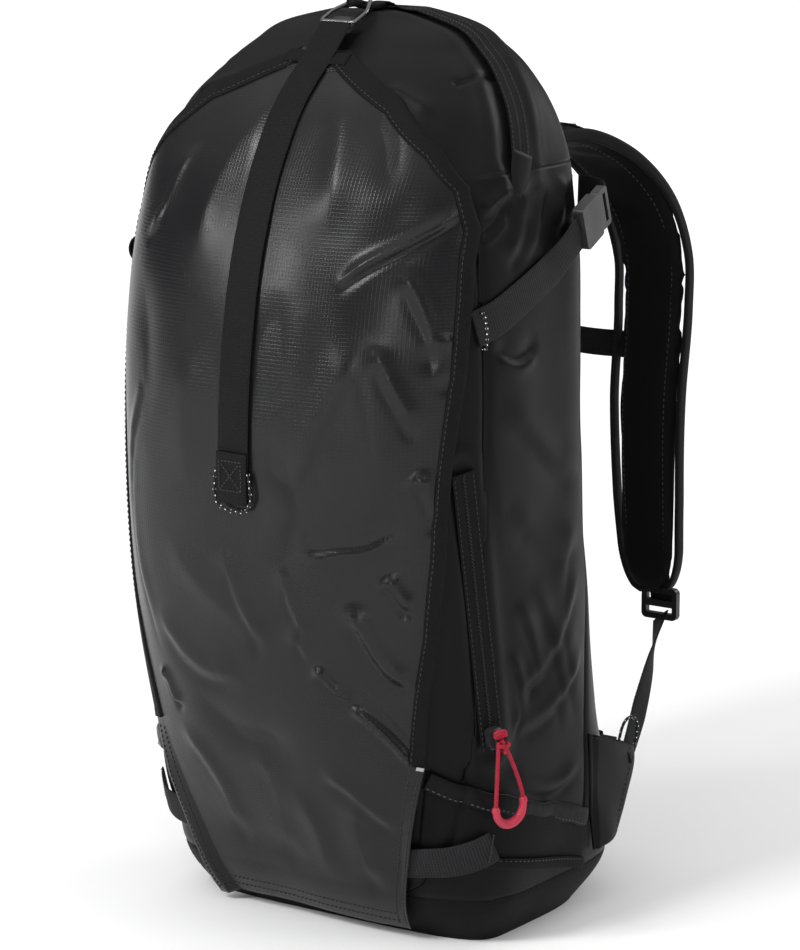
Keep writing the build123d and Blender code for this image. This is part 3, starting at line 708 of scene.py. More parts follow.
def bag_relief(points):
    """How far the bag's cloth stands in or out of its plain shape, in metres."""
    y = points[..., 1] / MM
    z = points[..., 2] / MM
    x = points[..., 0] / MM
    body = np.clip((z - 20) / 60, 0, 1) * np.clip((640 - z) / 60, 0.15, 1)
    relief = rumple(points, 0.085, 1, (1, 1, 0.7)) * 3.0 * MM * body
    relief += rumple(points, 0.038, 2, (1, 1, 0.6)) * 1.2 * MM * body
    relief += creases(points, 0.09, 3, (1.0, 1.0, 0.5), 1) * 0.5 * MM * body
    for hand in (1, -1):
        front_spots = ((SEAM_FRONT, 40), (SEAM_FRONT - 3, 200), (SEAM_FRONT, 380), (SEAM_FRONT, 530))
        relief += fold(points, line_on(side, front_spots, 30, hand=hand), -2.2, 3.2, 0.04)
        back_spots = ((SEAM_BACK, 40), (SEAM_BACK, 250), (SEAM_BACK, 500), (SEAM_BACK, 535))
        relief += fold(points, line_on(side, back_spots, 30, hand=hand), -2.0, 3.0, 0.04)
        for spots, height, width in (
            (((-60, 390), (-25, 366), (10, 340), (48, 330)), 2.0, 12),
            (((-50, 318), (-20, 296), (14, 282), (44, 284)), 1.8, 12),
            (((-40, 250), (-26, 232), (-16, 204), (-20, 178)), 2.4, 7),
            (((-46, 216), (-34, 196), (-30, 172), (-36, 150)), 2.8, 5),
            (((-22, 262), (-2, 232), (14, 190), (20, 150)), 2.6, 10),
            (((30, 300), (18, 250), (26, 196), (44, 150)), 2.4, 11),
            (((-38, 186), (-10, 196), (18, 224), (38, 262)), 2.2, 9),
            (((-40, 160), (-8, 162), (24, 178), (46, 206)), 2.4, 8),
            (((-66, 430), (-40, 418), (-14, 426)), -2.4, 7),
            (((8, 538), (-6, 506), (-22, 481)), 2.6, 8),
            (((-20, 528), (-28, 502), (-48, 484)), 2.4, 8),
            (((34, 534), (26, 512), (16, 496)), 2.2, 8),
            (((-66, 516), (-50, 524), (-34, 530)), 3.0, 5),
            (((-70, 500), (-54, 508), (-40, 520)), -2.8, 4),
            (((50, 120), (20, 108), (-20, 116), (-44, 134)), 2.6, 7),
        ):
            relief += pleat(points, line_on(side, spots, hand=hand), height, width)
        for spots, height, width in (
            (((44, 575), (70, 566), (98, 556)), 3.2, 7),
            (((60, 598), (80, 590), (100, 580)), 2.4, 6),
        ):
            relief += fold(points, line_on(front, [(hand * a, b) for a, b in spots]), height, width)
        back_edge = [(hand * a, b) for a, b in ((104, 520), (108, 300), (104, 190))]
        relief += fold(points, line_on(rear, back_edge, 24), 2.2, 9)
        shoulder = [(hand * a, b) for a, b in ((60, 625), (92, 590), (100, 540))]
        relief += fold(points, line_on(rear, shoulder), -2.2, 5)
    angle = np.linspace(0, 2 * np.pi, 140)
    relief += fold(points, around(angle, np.full(140, SEAM_BASE)), -0.7, 2.0, 0.001)
    for hand in (1, -1):
        dart = np.array(((106, 2, 600), (104, -16, 603), (101, -32, 601), (97, -44, 598))) * (hand, 1, 1) * MM
        relief += fold(points, dart, -2.6, 2.2, 0.12)
        above = dart + np.array((0, -4, 9)) * MM
        below = dart - np.array((0, 0, 11)) * MM
        relief += fold(points, above, 2.2, 6) + fold(points, below, 1.8, 6)
    zip_d = distance_to(points, TOP_ZIP)[0]
    relief -= 1.5 * MM * np.exp(-(zip_d / 0.016) ** 4)
    relief += 1.6 * MM * np.exp(-((zip_d - 0.024) / 0.006) ** 2)
    side_d = distance_to(points, SIDE_ZIP)[0]
    relief = np.where(side_d < 0.03, relief * np.clip(side_d / 0.03, 0, 1) ** 1.5, relief)
    relief -= 1.2 * MM * np.exp(-(side_d / 0.009) ** 4)
    relief += 1.5 * MM * np.exp(-((side_d - 0.014) / 0.006) ** 2)
    under_flap = (y < 0) & (np.abs(x) < flap_half_width(z) - 3)
    relief = np.where(under_flap, np.minimum(relief, 0.6 * MM), relief)
    flat_base = np.clip(z / 30, 0, 1)
    cap = np.clip((np.hypot(x, y - 15)) / 20, 0, 1)
    return np.clip(relief, -9 * MM, 8.5 * MM) * flat_base * np.where(z > 636, cap, 1)


def bag_grid():
    """The whole bag as a grid of points from its base to its top."""
    angle = np.linspace(-np.pi / 2, 1.5 * np.pi, ANGLES, endpoint=False)
    heights = np.concatenate([
        np.linspace(0, 60, LEVELS // 7, endpoint=False),
        np.linspace(60, 560, LEVELS * 4 // 7, endpoint=False),
        np.linspace(560, LOG_EDGE, LEVELS * 2 // 7),
    ])
    a, z = np.meshgrid(angle, heights)
    points = around(a, z)
    return points, outward(points)


bag_points, bag_normals = bag_grid()
bag_cloth = bag_points + bag_normals * bag_relief(bag_points)[..., None]
middle_base = np.array((0, 38, 0)) * MM
bag_cloth[0, :, 2] = 0
base_rings = [
    middle_base + (bag_cloth[0] - middle_base) * share * np.array((1, 1, 0))
    for share in (0.02, 0.35, 0.7, 0.94)
]
middle_top = np.array((0, 18, LOG_EDGE + 1.2)) * MM
top_rings = []
for share in (0.9, 0.7, 0.4, 0.03):
    ring = middle_top + (bag_cloth[-1] - middle_top) * share
    ring[:, 2] = bag_cloth[-1][:, 2] * share + middle_top[2] * (1 - share)
    top_rings.append(ring)
bag_cloth = np.concatenate([np.array(base_rings), bag_cloth, np.array(top_rings)], axis=0)


def cloth_uv(points):
    """UV map of a closed grid, in metres round and up."""
    step = np.linalg.norm(np.roll(points, -1, axis=1) - points, axis=-1)
    mean = step.mean(axis=0)
    across = np.concatenate([[0], np.cumsum(mean)[:-1]])
    rise = np.linalg.norm(np.diff(points, axis=0), axis=-1).mean(axis=1)
    up = np.concatenate([[0], np.cumsum(rise)])
    uv = np.zeros((*points.shape[:2], 2))
    uv[..., 0] = across[None]
    uv[..., 1] = up[:, None]
    return uv


bag_uv = cloth_uv(bag_cloth)


def zip_side(centre):
    """Positive behind the plane of the top zip."""
    return (centre - ZIP_CENTRE) @ zip_normal


def panel_of(centre):
    x, y, z = centre / MM
    if z < SEAM_BASE:
        return "bottom_panel"
    if z > 540 and zip_side(centre) < 0:
        return "lid_panel"
    if z > 540 or y > SEAM_BACK:
        return "rear_panel"
    if y < SEAM_FRONT:
        return "front_panel"
    return "side_panel_right" if x > 0 else "side_panel_left"


def make_bag():
    """Cuts the bag's grid into its sewn panels, each a sheet with thickness."""
    rows, columns = bag_cloth.shape[:2]
    quads = {}
    for r in range(rows - 1):
        for c in range(columns):
            d = (c + 1) % columns
            centre = (bag_cloth[r, c] + bag_cloth[r + 1, d]) / 2
            quads.setdefault(panel_of(centre), []).append((r, c, d))
    looks = {"bottom_panel": "base", "lid_panel": "lid"}
    for panel, cells in quads.items():
        used = {}
        verts = []
        faces = []
        uv = []
        for r, c, d in cells:
            face = []
            for row, column, across in ((r, c, c), (r, d, c + 1), (r + 1, d, c + 1), (r + 1, c, c)):
                key = (row, column)
                if key not in used:
                    used[key] = len(verts)
                    verts.append(tuple(bag_cloth[row, column]))
                face.append(used[key])
                turn = bag_uv[row, column, 0] if across < columns else bag_uv[row, -1, 0] + 0.002
                uv += [turn, bag_uv[row, column, 1]]
            faces.append(tuple(face))
        mesh = bpy.data.meshes.new(panel + "_cloth")
        mesh.from_pydata(verts, [], faces)
        mesh.uv_layers.new(name="UVMap").data.foreach_set("uv", uv)
        piece = to_object(panel + "_cloth", mesh, looks.get(panel, "bag"), "pack")
        shell = piece.modifiers.new("thickness", "SOLIDIFY")
        shell.thickness = 1.2 * MM
        shell.offset = -1
        apply(piece)
        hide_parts(panel)


make_bag()

# ---- front flap -----------------------------------------------------------------------------------
FLAP_OUT = 4.2
BINDING_END = 142.0


def flap_relief(points):
    """Folds of the coated flap: it is pulled up by the strap and slack towards its edges."""
    z = points[..., 2] / MM
    x = points[..., 0] / MM
    share = np.abs(x) / np.maximum(flap_half_width(z), 1)
    relief = rumple(points, 0.11, 5, (1, 1, 0.6)) * 2.6 * MM
    relief += rumple(points, 0.05, 6, (1, 1, 0.7)) * 1.0 * MM
    relief += creases(points, 0.10, 7, (1, 1, 0.8), 2) * 0.45 * MM
    for spots, height, width in (
        (((134, 524), (124, 512), (106, 498), (88, 486), (70, 470)), 4.2, 4.5),
        (((108, 488), (116, 468), (124, 446), (128, 420)), 3.0, 8),
        (((92, 448), (82, 412), (66, 378), (52, 342), (40, 306), (32, 278)), 3.0, 13),
        (((34, 284), (37, 257), (43, 240), (40, 228), (48, 214)), 2.6, 6),
        (((100, 438), (102, 423), (112, 399), (123, 375)), 3.2, 7),
        (((132, 444), (133, 430), (134, 404)), 3.4, 6),
        (((122, 352), (127, 330), (130, 310)), 3.6, 6),
        (((116, 320), (98, 306), (70, 300), (50, 292)), -2.4, 8),
        (((104, 280), (110, 266), (118, 254)), 3.2, 6),
        (((80, 262), (90, 234), (102, 212), (118, 198)), 5.0, 9),
        (((50, 212), (62, 198), (78, 186)), 4.4, 5),
        (((66, 199), (92, 174), (114, 142)), -4.4, 7),
        (((72, 188), (98, 160), (110, 138)), 3.0, 6),
        (((-94, 487), (-82, 506), (-73, 539), (-66, 556)), 3.0, 5),
        (((-92, 427), (-88, 394), (-101, 349), (-103, 292), (-95, 242), (-86, 200)), 2.6, 6),
        (((-84, 236), (-60, 206), (-34, 196), (-8, 204)), 2.0, 10),
        (((-88, 190), (-82, 172), (-74, 160)), 3.6, 5),
        (((-14, 290), (-8, 262), (6, 232), (4, 214)), 2.0, 8),
        (((-80, 150), (-56, 110), (-48, 60)), 2.4, 9),
        (((66, 120), (58, 84), (60, 40)), 2.6, 10),
        (((40, 134), (70, 112), (88, 90)), 2.4, 8),
        (((-12, 150), (-4, 100), (-10, 50)), 1.8, 14),
    ):
        relief += pleat(points, line_on(front, spots, out=FLAP_OUT), height * 1.3, width)
    for spots, height, width in (
        (((24, 606), (46, 576), (56, 540), (60, 500)), 3.4, 13),
        (((60, 592), (86, 560), (92, 524)), -2.6, 12),
        (((-10, 600), (-22, 570), (-36, 530), (-44, 470)), 3.2, 14),
        (((-40, 596), (-66, 560), (-74, 500)), -2.4, 14),
        (((34, 470), (26, 420), (30, 380)), -2.2, 14),
        (((-34, 430), (-44, 370), (-40, 320)), 2.2, 15),
        (((60, 470), (84, 420), (100, 360), (96, 300)), 3.6, 16),
        (((20, 372), (52, 330), (88, 300)), -2.8, 12),
        (((-70, 300), (-40, 262), (0, 240), (40, 250)), 2.8, 14),
        (((-60, 180), (-20, 150), (30, 150)), -2.4, 13),
        (((-96, 470), (-84, 420), (-92, 350)), -2.2, 12),
        (((10, 120), (24, 80), (20, 40)), 2.4, 12),
    ):
        relief += fold(points, line_on(front, spots, out=FLAP_OUT), height, width, 0.35)
    strap = np.exp(-(x / 13.0) ** 4) * np.clip((z - 316) / 12, 0, 1)
    relief = relief * (1 - 0.85 * strap)
    relief = np.clip(relief, -1.9 * MM, 8 * MM)
    edge = np.clip((share - 0.9) / 0.1, 0, 1)
    relief *= 1 - 0.75 * edge
    tongue = np.clip((150 - z) / 50, 0, 1)
    relief += tongue * (4.5 * MM * edge + 2.4 * MM * np.clip((40 - z) / 30, 0, 1))
    return relief


def flap_grid():
    """The flap as rows from its foot to its apex, each from the wearer's left to right."""
    columns = 260
    rows = 330
    heights = np.linspace(10, 616, rows)
    share = np.linspace(-1, 1, columns)
    s, z = np.meshgrid(share, heights)
    lean = -7.0 * np.clip((140 - z) / 130, 0, 1)  # the loose tongue hangs a little to one side
    return front(s * flap_half_width(z) + lean, z, FLAP_OUT)


flap_points = flap_grid()
flap_normals = outward(flap_points)
flap_cloth = flap_points + flap_normals * (flap_relief(flap_points) + 0.4 * MM)[..., None]
flap_uv = np.zeros((*flap_cloth.shape[:2], 2))
flap_uv[..., 0] = flap_points[..., 0] * 1.12
rise = np.linalg.norm(np.diff(flap_cloth, axis=0), axis=-1).mean(axis=1)
flap_uv[..., 1] = np.concatenate([[0], np.cumsum(rise)])[:, None]
flap = grid_mesh("flap_cloth", flap_cloth, flap_uv, "flap", "flap", thick=0.7 * MM)
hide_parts("front_flap")


def grid_at(grid, row, column):
    """A point of a grid at fractional row and column."""
    row = np.clip(row, 0, grid.shape[0] - 1.001)
    column = np.clip(column, 0, grid.shape[1] - 1.001)
    r, c = row.astype(int), column.astype(int)
    fr, fc = (row - r)[:, None], (column - c)[:, None]
    return (
        grid[r, c] * (1 - fr) * (1 - fc) + grid[r + 1, c] * fr * (1 - fc)
        + grid[r, c + 1] * (1 - fr) * fc + grid[r + 1, c + 1] * fr * fc
    )


def on_flap(x, z, lift=0.0):
    """Points on the made flap at x across and z up, and their outward directions."""
    x, z = np.broadcast_arrays(np.asarray(x, float), np.asarray(z, float))
    rows, columns = flap_cloth.shape[:2]
    row = (z - 10) / (616 - 10) * (rows - 1)
    column = (x / np.maximum(flap_half_width(z), 1) + 1) / 2 * (columns - 1)
    spots = grid_at(flap_cloth, row, column)
    normals = outward(spots)
    return spots + normals * lift * MM, normals


def edge_line(inset, hand, count, low=BINDING_END, high=616.0):
    """Front view of the flap's edge, moved inwards, from its lower end to the apex."""
    z = np.linspace(low, high, count)
    x = flap_half_width(z)
    slope = np.gradient(x, z)
    facing = outward(front(x, z, FLAP_OUT))
    inset = inset * np.clip(-facing[:, 1] / np.hypot(facing[:, 0], facing[:, 1]), 0.45, 1)
    size = np.sqrt(1 + slope ** 2)
    x_in = x - inset / size
    z_in = z + inset * slope / size
    keep = x_in > 3
    return hand * x_in[keep], z_in[keep]


def make_binding():
    """Folded tape over the flap's edge, with its row of stitches."""
    parts = []
    count = 260
    for hand in (1, -1):
        rows = []
        profile = (
            (11.0, 0.1), (10.7, 1.3), (8.0, 1.5), (5.0, 1.5), (2.0, 1.6), (0.0, 1.4), (-1.0, 0.4),
            (-0.8, -1.0), (1.5, -1.7), (6.0, -1.6), (10.5, -1.4),
        )
        for inset, lift in profile:
            x, z = edge_line(max(inset, 0.0), hand, count)
            spots, normals = on_flap(x, z, lift)
            if inset < 0:
                outside = on_flap(*edge_line(2.0, hand, count), 0.0)[0]
                inside = on_flap(*edge_line(0.0, hand, count), 0.0)[0]
                size = min(len(outside), len(inside), len(spots))
                spots = spots[:size] + unit(inside[:size] - outside[:size]) * (-inset) * MM
            rows.append(spots)
        size = min(len(r) for r in rows)
        points = np.stack([r[:size] for r in rows], axis=1)
        uv = np.zeros((size, len(profile), 2))
        uv[..., 0] = np.array([p[0] for p in profile])[None] * MM
        run = np.concatenate([[0], np.cumsum(np.linalg.norm(np.diff(points[:, 3], axis=0), axis=1))])
        uv[..., 1] = run[:, None]
        tape = grid_mesh("tape", points, uv, "binding", "flap", closed=True)
        close_ends(tape, size, len(profile))
        parts.append(tape)
        spots, normals = on_flap(*edge_line(9.2, hand, 300), 1.55)
        parts.append(stitches("seam", spots, normals, "thread", "flap", 0.0026, 0.0014, 0.0003))
    binding = join("flap_edge_binding", parts, "flap")
    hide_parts("flap_binding")


make_binding()
apex_spots, apex_normals = on_flap(np.linspace(-25, 25, 14), np.full(14, 610.0), 1.3)
apex_band = ribbon("flap_apex_binding", apex_spots, apex_normals, 12.0 * MM, 1.6 * MM, "binding", "flap")
# A small strip coloured pale grey over the folded end of the binding, on one side of the flap.
fold_spots, fold_normals = on_flap(np.array((109.5, 111.5, 113.5)), np.array((141.5, 141.0, 140.4)), 2.0)
ribbon("binding_end_fold", fold_spots, fold_normals, 2.6 * MM, 0.8 * MM, "pale_end", "flap")


def make_tongue_hem():
    """Turned hem with stitches down the free edges and along the foot of the tongue."""
    parts = []
    for hand in (1, -1):
        z = np.linspace(14, 138, 80)
        for inset in (2.5, 8.0):
            spots, normals = on_flap(hand * (flap_half_width(z) - inset), z, 0.15)
            parts.append(stitches("hem", spots, normals, "thread", "flap", 0.0024, 0.0014, 0.0003))
    x = np.linspace(-80, 80, 60)
    for z in (16, 22):
        spots, normals = on_flap(x, np.full(60, float(z)), 0.15)
        parts.append(stitches("hem", spots, normals, "thread", "flap", 0.0024, 0.0014, 0.0003))
    return join("flap_tongue_stitching", parts, "flap")


make_tongue_hem()


def make_apex_patch():
    """Second layer of coated cloth over the apex, sewn down along its lower edge."""
    rows, columns = 60, 120
    points = np.zeros((rows, columns, 3))
    uv = np.zeros((rows, columns, 2))
    for r in range(rows):
        share = np.linspace(-1, 1, columns)
        low = 602 + 3 * np.abs(share)
        z = low + (611 - low) * r / (rows - 1)
        x = share * (flap_half_width(z) - 9)
        points[r], normals = on_flap(x, z, 0.5 if r else 0.0)
        uv[r, :, 0] = x * MM
        uv[r, :, 1] = z * MM
    patch = grid_mesh("apex_patch", points, uv, "flap", "flap")
    share = np.linspace(-0.98, 0.98, 120)
    z = 603 + 3 * np.abs(share)
    spots, normals = on_flap(share * (flap_half_width(z) - 9), z, 0.6)
    seam = stitches("apex_seam", spots, normals, "thread", "flap", 0.0024, 0.0014, 0.0003)
    piece = join("flap_apex_patch", [patch, seam], "flap")


make_apex_patch()

# ---- front strap, its pull tab and hook -----------------------------------------------------------
TAIL_END = 322.0
WEB = 25 * MM


def make_front_strap():
    z = np.concatenate([np.linspace(TAIL_END, 460, 12), np.linspace(475, 606, 12)])
    x = 2.0 * np.sin((z - TAIL_END) / 90.0)
    spots, normals = on_flap(x, z, 1.9)
    hook_foot = np.array((0, -41, 634.0)) * MM
    spots = np.concatenate([spots, [hook_foot]])
    normals = np.concatenate([normals, [unit(np.array((0, -0.5, 0.87)))]])
    strap = ribbon("front_strap_webbing", spots, normals, WEB, 1.5 * MM, "webbing", "flap", 0.25 * MM)
    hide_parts("front_strap")
    z = np.linspace(TAIL_END - 1, TAIL_END + 34, 8)
    spots, normals = on_flap(2.0 * np.sin((z - TAIL_END) / 90.0), z, 3.8)
    tab = ribbon("strap_pull_tab", spots, normals, WEB, 1.6 * MM, "webbing", "flap", 0.3 * MM)
    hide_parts("strap_tab")
    box = []
    for x0, z0, x1, z1 in ((-9, 330, 9, 330), (9, 330, 9, 350), (9, 350, -9, 350), (-9, 350, -9, 330),
                           (-9, 330, 9, 350), (9, 330, -9, 350)):
        spots, normals = on_flap(np.linspace(x0, x1, 10), np.linspace(z0, z1, 10), 4.9)
        box.append(stitches("bar", spots, normals, "thread", "flap", 0.0022, 0.0006, 0.0004))
    join("strap_tab_stitching", box, "flap")


make_front_strap()


def flecked_cord(name, path, body, radius=1.1, pitch=5.0):
    """Thin cord with pale reflective flecks woven into it."""
    path = smooth_line([Vector(p) for p in path], 60)
    cord = meshed(tube(name, path, radius * MM, "cord", body, 8))
    run = np.concatenate([[0], np.cumsum(np.linalg.norm(np.diff(path, axis=0), axis=1))])
    parts = [cord]
    tangent = unit(np.gradient(path, axis=0))
    for k, d in enumerate(np.arange(pitch * 0.4, run[-1] / MM, pitch)):
        middle = np.array([np.interp(d * MM, run, path[:, i]) for i in range(3)])
        along = unit(np.array([np.interp(d * MM, run, tangent[:, i]) for i in range(3)]))
        reference = np.array((0.3, 0.2, 1.0)) if abs(along[2]) < 0.9 else np.array((1.0, 0.1, 0))
        aside = unit(np.cross(along, reference))
        up = np.cross(along, aside)
        for turn in range(3):
            angle = 2.1 * turn + 0.9 * k
            away = aside * math.cos(angle) + up * math.sin(angle)
            across = np.cross(along, away)
            centre = middle + away * radius * MM * 1.02
            verts = []
            for i in range(8):
                a = 2 * math.pi * i / 8
                verts.append(centre + along * math.cos(a) * 0.55 * MM + across * math.sin(a) * 0.4 * MM)
            top = centre + away * 0.22 * MM
            mesh = bpy.data.meshes.new("fleck")
            faces = [(i, (i + 1) % 8, 8) for i in range(8)]
            mesh.from_pydata([tuple(v) for v in verts] + [tuple(top)], [], faces)
            parts.append(to_object("fleck", mesh, "fleck", body))
    return join(name, parts, body)


def loop_between(a, b, out, reach, lean=0.0, count=9):
    """Points of a small loop of cord standing out from two feet."""
    a, b, out = np.array(a, float), np.array(b, float), unit(np.array(out, float))
    points = []
    for t in np.linspace(0, np.pi, count):
        base = (a + b) / 2 + (a - b) / 2 * np.cos(t) * (1 + 0.25 * np.sin(t))
        points.append(base + out * reach * np.sin(t) ** 0.8 + np.array((0, 0, lean)) * np.sin(t))
    return points


TAB_LOOP = (
    (-12.5, 344), (-14, 335), (-14.4, 327), (-12, 319.5), (-5, 316), (3, 315.4), (11, 317), (15, 323),
    (15.4, 332), (14, 343),
)
tab_spots = on_flap(np.array([p[0] for p in TAB_LOOP]), np.array([p[1] for p in TAB_LOOP]), 3.6)[0]
flecked_cord("pull_tab_loop", tab_spots, "flap", 1.1, 4.4)

HOOK_TIP = np.array((0, -40, 634.5)) * MM
HOOK_TOP = np.array((0, -6, 648.3)) * MM
hook_run = unit(HOOK_TOP - HOOK_TIP)


def make_hook():
    """Bent wire in a five-sided loop, its narrow end turned down over the haul loop."""
    half = ((4, 0), (14, 0), (14, 16), (6, 33), (5, 36.7))
    corners = [(-14, 0), (-4, 0), *half, *((-x, along) for x, along in half[:1:-1])]
    wire = [HOOK_TIP + np.array((x * MM, 0, 0)) + hook_run * along * MM for x, along in corners]
    ring = []
    for a, b in zip(wire, wire[1:] + wire[:1]):
        ring += [a + (b - a) * 0.12, a + (b - a) * 0.5, a + (b - a) * 0.88]
    data = bpy.data.curves.new("hook_wire", "CURVE")
    data.dimensions = "3D"
    data.bevel_depth = 1.35 * MM
    data.bevel_resolution = 4
    spline = data.splines.new("NURBS")
    spline.points.add(len(ring) - 1)
    for point, place in zip(spline.points, ring):
        point.co = (*place, 1)
    spline.order_u = 3
    spline.use_cyclic_u = True
    hook = bpy.data.objects.new("hook_wire", data)
    bpy.context.scene.collection.objects.link(hook)
    data.materials.append(MAT["steel"])
    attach(hook, "hook")
    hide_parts("strap_hook")


make_hook()
refinish(["hook_plate"], "plastic")


def make_haul_loop():
    """Webbing rolled into a handle, sewn to the lid behind and held by the hook in front."""
    route = ((17, 640.5), (9, 641.8), (0, 642.0), (-9, 643.2), (-17, 645.2), (-24, 646.6))
    roll_path = [np.array((0, y, z)) * MM for y, z in route]
    roll = ribbon("haul_roll", roll_path, (0, 0.2, 1), 7.6 * MM, 4.4 * MM, "webbing", "pack", 0.9 * MM)
    foot_path = [np.array((0, y, z)) * MM for y, z in ((15, 640.6), (22, 640.2), (30, 639.9))]
    foot = ribbon("haul_foot", foot_path, (0, 0, 1), 20 * MM, 1.6 * MM, "webbing", "pack")
    loop = join("haul_loop_webbing", [roll, foot], "pack")
    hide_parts("haul_loop")
    return loop


make_haul_loop()


# ---- zips -----------------------------------------------------------------------------------------
def coil(name, path, normals, body, width=1.7, pitch=1.5):
    """Two meshed rows of coil, as short turns across the path."""
    path = np.array(path)
    run = np.concatenate([[0], np.cumsum(np.linalg.norm(np.diff(path, axis=0), axis=1))])
    count = int(run[-1] / (pitch * MM))
    verts = []
    faces = []
    at = lambda d, values: np.array([np.interp(d, run, values[:, k]) for k in range(3)])
    for k in range(count):
        d = (k + 0.5) * pitch * MM
        middle = at(d, path)
        along = unit(at(min(d + 0.002, run[-1]), path) - at(max(d - 0.002, 0), path))
        up = unit(at(d, normals))
        across = unit(np.cross(along, up))
        hand = 1 if k % 2 else -1
        ring = []
        for s, lift in ((-0.25, 0.0), (0.0, 0.75), (0.6, 0.9), (1.1, 0.55), (1.25, -0.2)):
            centre = middle + across * hand * s * width * MM + up * lift * MM
            row = []
            for i in range(6):
                a = 2 * math.pi * i / 6
                row.append(len(verts))
                verts.append(centre + (along * math.cos(a) * 0.62 + up * math.sin(a) * 0.5) * MM)
            ring.append(row)
        for one, two in zip(ring, ring[1:]):
            for i in range(6):
                j = (i + 1) % 6
                faces.append((one[i], one[j], two[j], two[i]))
        faces.append(tuple(ring[0][::-1]))
        faces.append(tuple(ring[-1]))
    mesh = bpy.data.meshes.new(name)
    mesh.from_pydata([tuple(v) for v in verts], [], faces)
    return to_object(name, mesh, "coil", body)


def shifted(path, normals, across, lift):
    """A path moved sideways on its surface and lifted off it."""
    tangent = unit(np.gradient(path, axis=0))
    return path + unit(np.cross(tangent, normals)) * across * MM + normals * lift * MM


def make_zip(name, path, normals, replaced):
    """Two tapes on the cloth with the coil between them, and their stitches."""
    middles = []
    for hand in (1, -1):
        middle = shifted(path, normals, hand * 4.7, 0.4)
        tape = ribbon("tape", middle, normals, 9.0 * MM, 0.8 * MM, "zip", "pack")
        outer = shifted(path, normals, hand * 7.6, 0.9)
        seam = stitches("seam", outer, normals, "thread", "pack", 0.0024, 0.0014, 0.0003)
        middles += [tape, seam]
    middles.append(coil("coil", shifted(path, normals, 0, 0.1), normals, "pack", 0.9, 1.3))
    piece = join(name, middles, "pack")
    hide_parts(*replaced)


side_normals = np.repeat(np.array(side_face)[None], len(SIDE_ZIP), axis=0)
make_zip("side_zip_coil", SIDE_ZIP - side_normals * 0.6 * MM, side_normals, ("side_zip_tape",))
top_normals = outward(TOP_ZIP)
make_zip("top_zip_coil", TOP_ZIP, top_normals, ("top_zip_tape_rear", "top_zip_tape_lid"))
refinish(("top_zip_slider", "top_zip_tab", "side_zip_slider"), "slider")


def make_garage(hand):
    """Patch of cloth over the end of the top zip."""
    end = zip_arch(2, 15.0)[1 if hand > 0 else 0]
    foot = side(-30, 524, 1.0, hand)
    path = np.array([end + (foot - end) * t for t in (-0.25, 0.05, 0.35, 0.7, 1.0)])
    normals = outward(path)
    lifted = path + normals * np.array((1.5, 1.1, 0.7, 0.2, -0.3))[:, None] * MM
    widths = np.array((20, 20, 19, 15, 9)) * MM
    piece = ribbon("zip_garage_" + HANDS[hand], lifted, normals, widths, 0.9 * MM, "lid", "pack", 0.8 * MM)


for hand in (1, -1):
    make_garage(hand)


def make_edge_tab(name, y, z, reach, wide):
    """Small loop of webbing sewn at the bag's left edge."""
    bow = ((9, 1.0), (7, reach * 0.7), (0, reach), (-7, reach * 0.7), (-9, 1.0))
    spots = [side(y, z + rise, out, -1) for rise, out in bow]
    normals = [(-0.5, 0, 0.9), (-0.8, 0, 0.5), (-1, 0, 0), (-0.8, 0, -0.5), (-0.5, 0, -0.9)]
    tab = ribbon(name, spots, normals, wide * MM, 1.4 * MM, "webbing", "pack")


make_edge_tab("edge_tab_upper", -38, 543, 14, 14)
make_edge_tab("edge_tab_middle", -78, 472, 9, 16)


# ---- red pull: its moulded grip and knot ----------------------------------------------------------
def spline_line(curve_piece):
    """The points of a curve piece's own line, without its bevel."""
    bare = curve_piece.copy()
    bare.data = curve_piece.data.copy()
    bare.data.bevel_depth = 0
    bpy.context.scene.collection.objects.link(bare)
    graph = bpy.context.evaluated_depsgraph_get()
    mesh = bpy.data.meshes.new_from_object(bare.evaluated_get(graph))
    line = np.array([v.co for v in mesh.vertices])
    bpy.data.meshes.remove(mesh)
    bpy.data.curves.remove(bare.data)
    return line


def round_sleeve(name, line, radii, material, body, sides=14):
    """A round skin along a line with a radius at each of its points."""
    tangent = unit(np.gradient(line, axis=0))
    reference = np.array(side_face)
    aside = unit(np.cross(tangent, reference))
    up = np.cross(aside, tangent)
    angle = np.linspace(0, 2 * np.pi, sides, endpoint=False)
    ring = aside[:, None] * np.cos(angle)[None, :, None] + up[:, None] * np.sin(angle)[None, :, None]
    points = line[:, None] + ring * np.array(radii)[:, None, None]
    uv = np.zeros((*points.shape[:2], 2))
    piece = grid_mesh(name, points, uv, material, body, closed=True)
    close_ends(piece, len(line), sides)
    return piece


def make_pull_grip():
    line = spline_line(pull_cord)
    height = (line - np.array(pull_origin)) @ np.array(side_up) / MM
    keep = line[height < -45.5]
    keep = smooth_line(keep, 48)
    s = np.linspace(0, 1, 48)
    radii = 2.5 * MM + 0.9 * MM * np.sin(np.pi * s) ** 2
    radii[:2] = (2.0 * MM, 2.4 * MM)
    radii[-2:] = (2.4 * MM, 2.0 * MM)
    radii += 0.35 * MM * (np.abs(s - 0.07) < 0.035) + 0.35 * MM * (np.abs(s - 0.93) < 0.035)
    grip = round_sleeve("pull_grip_moulded", keep, radii, "red_grip", "red_pull")
    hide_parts("pull_grip")
    return grip


pull_grip = make_pull_grip()


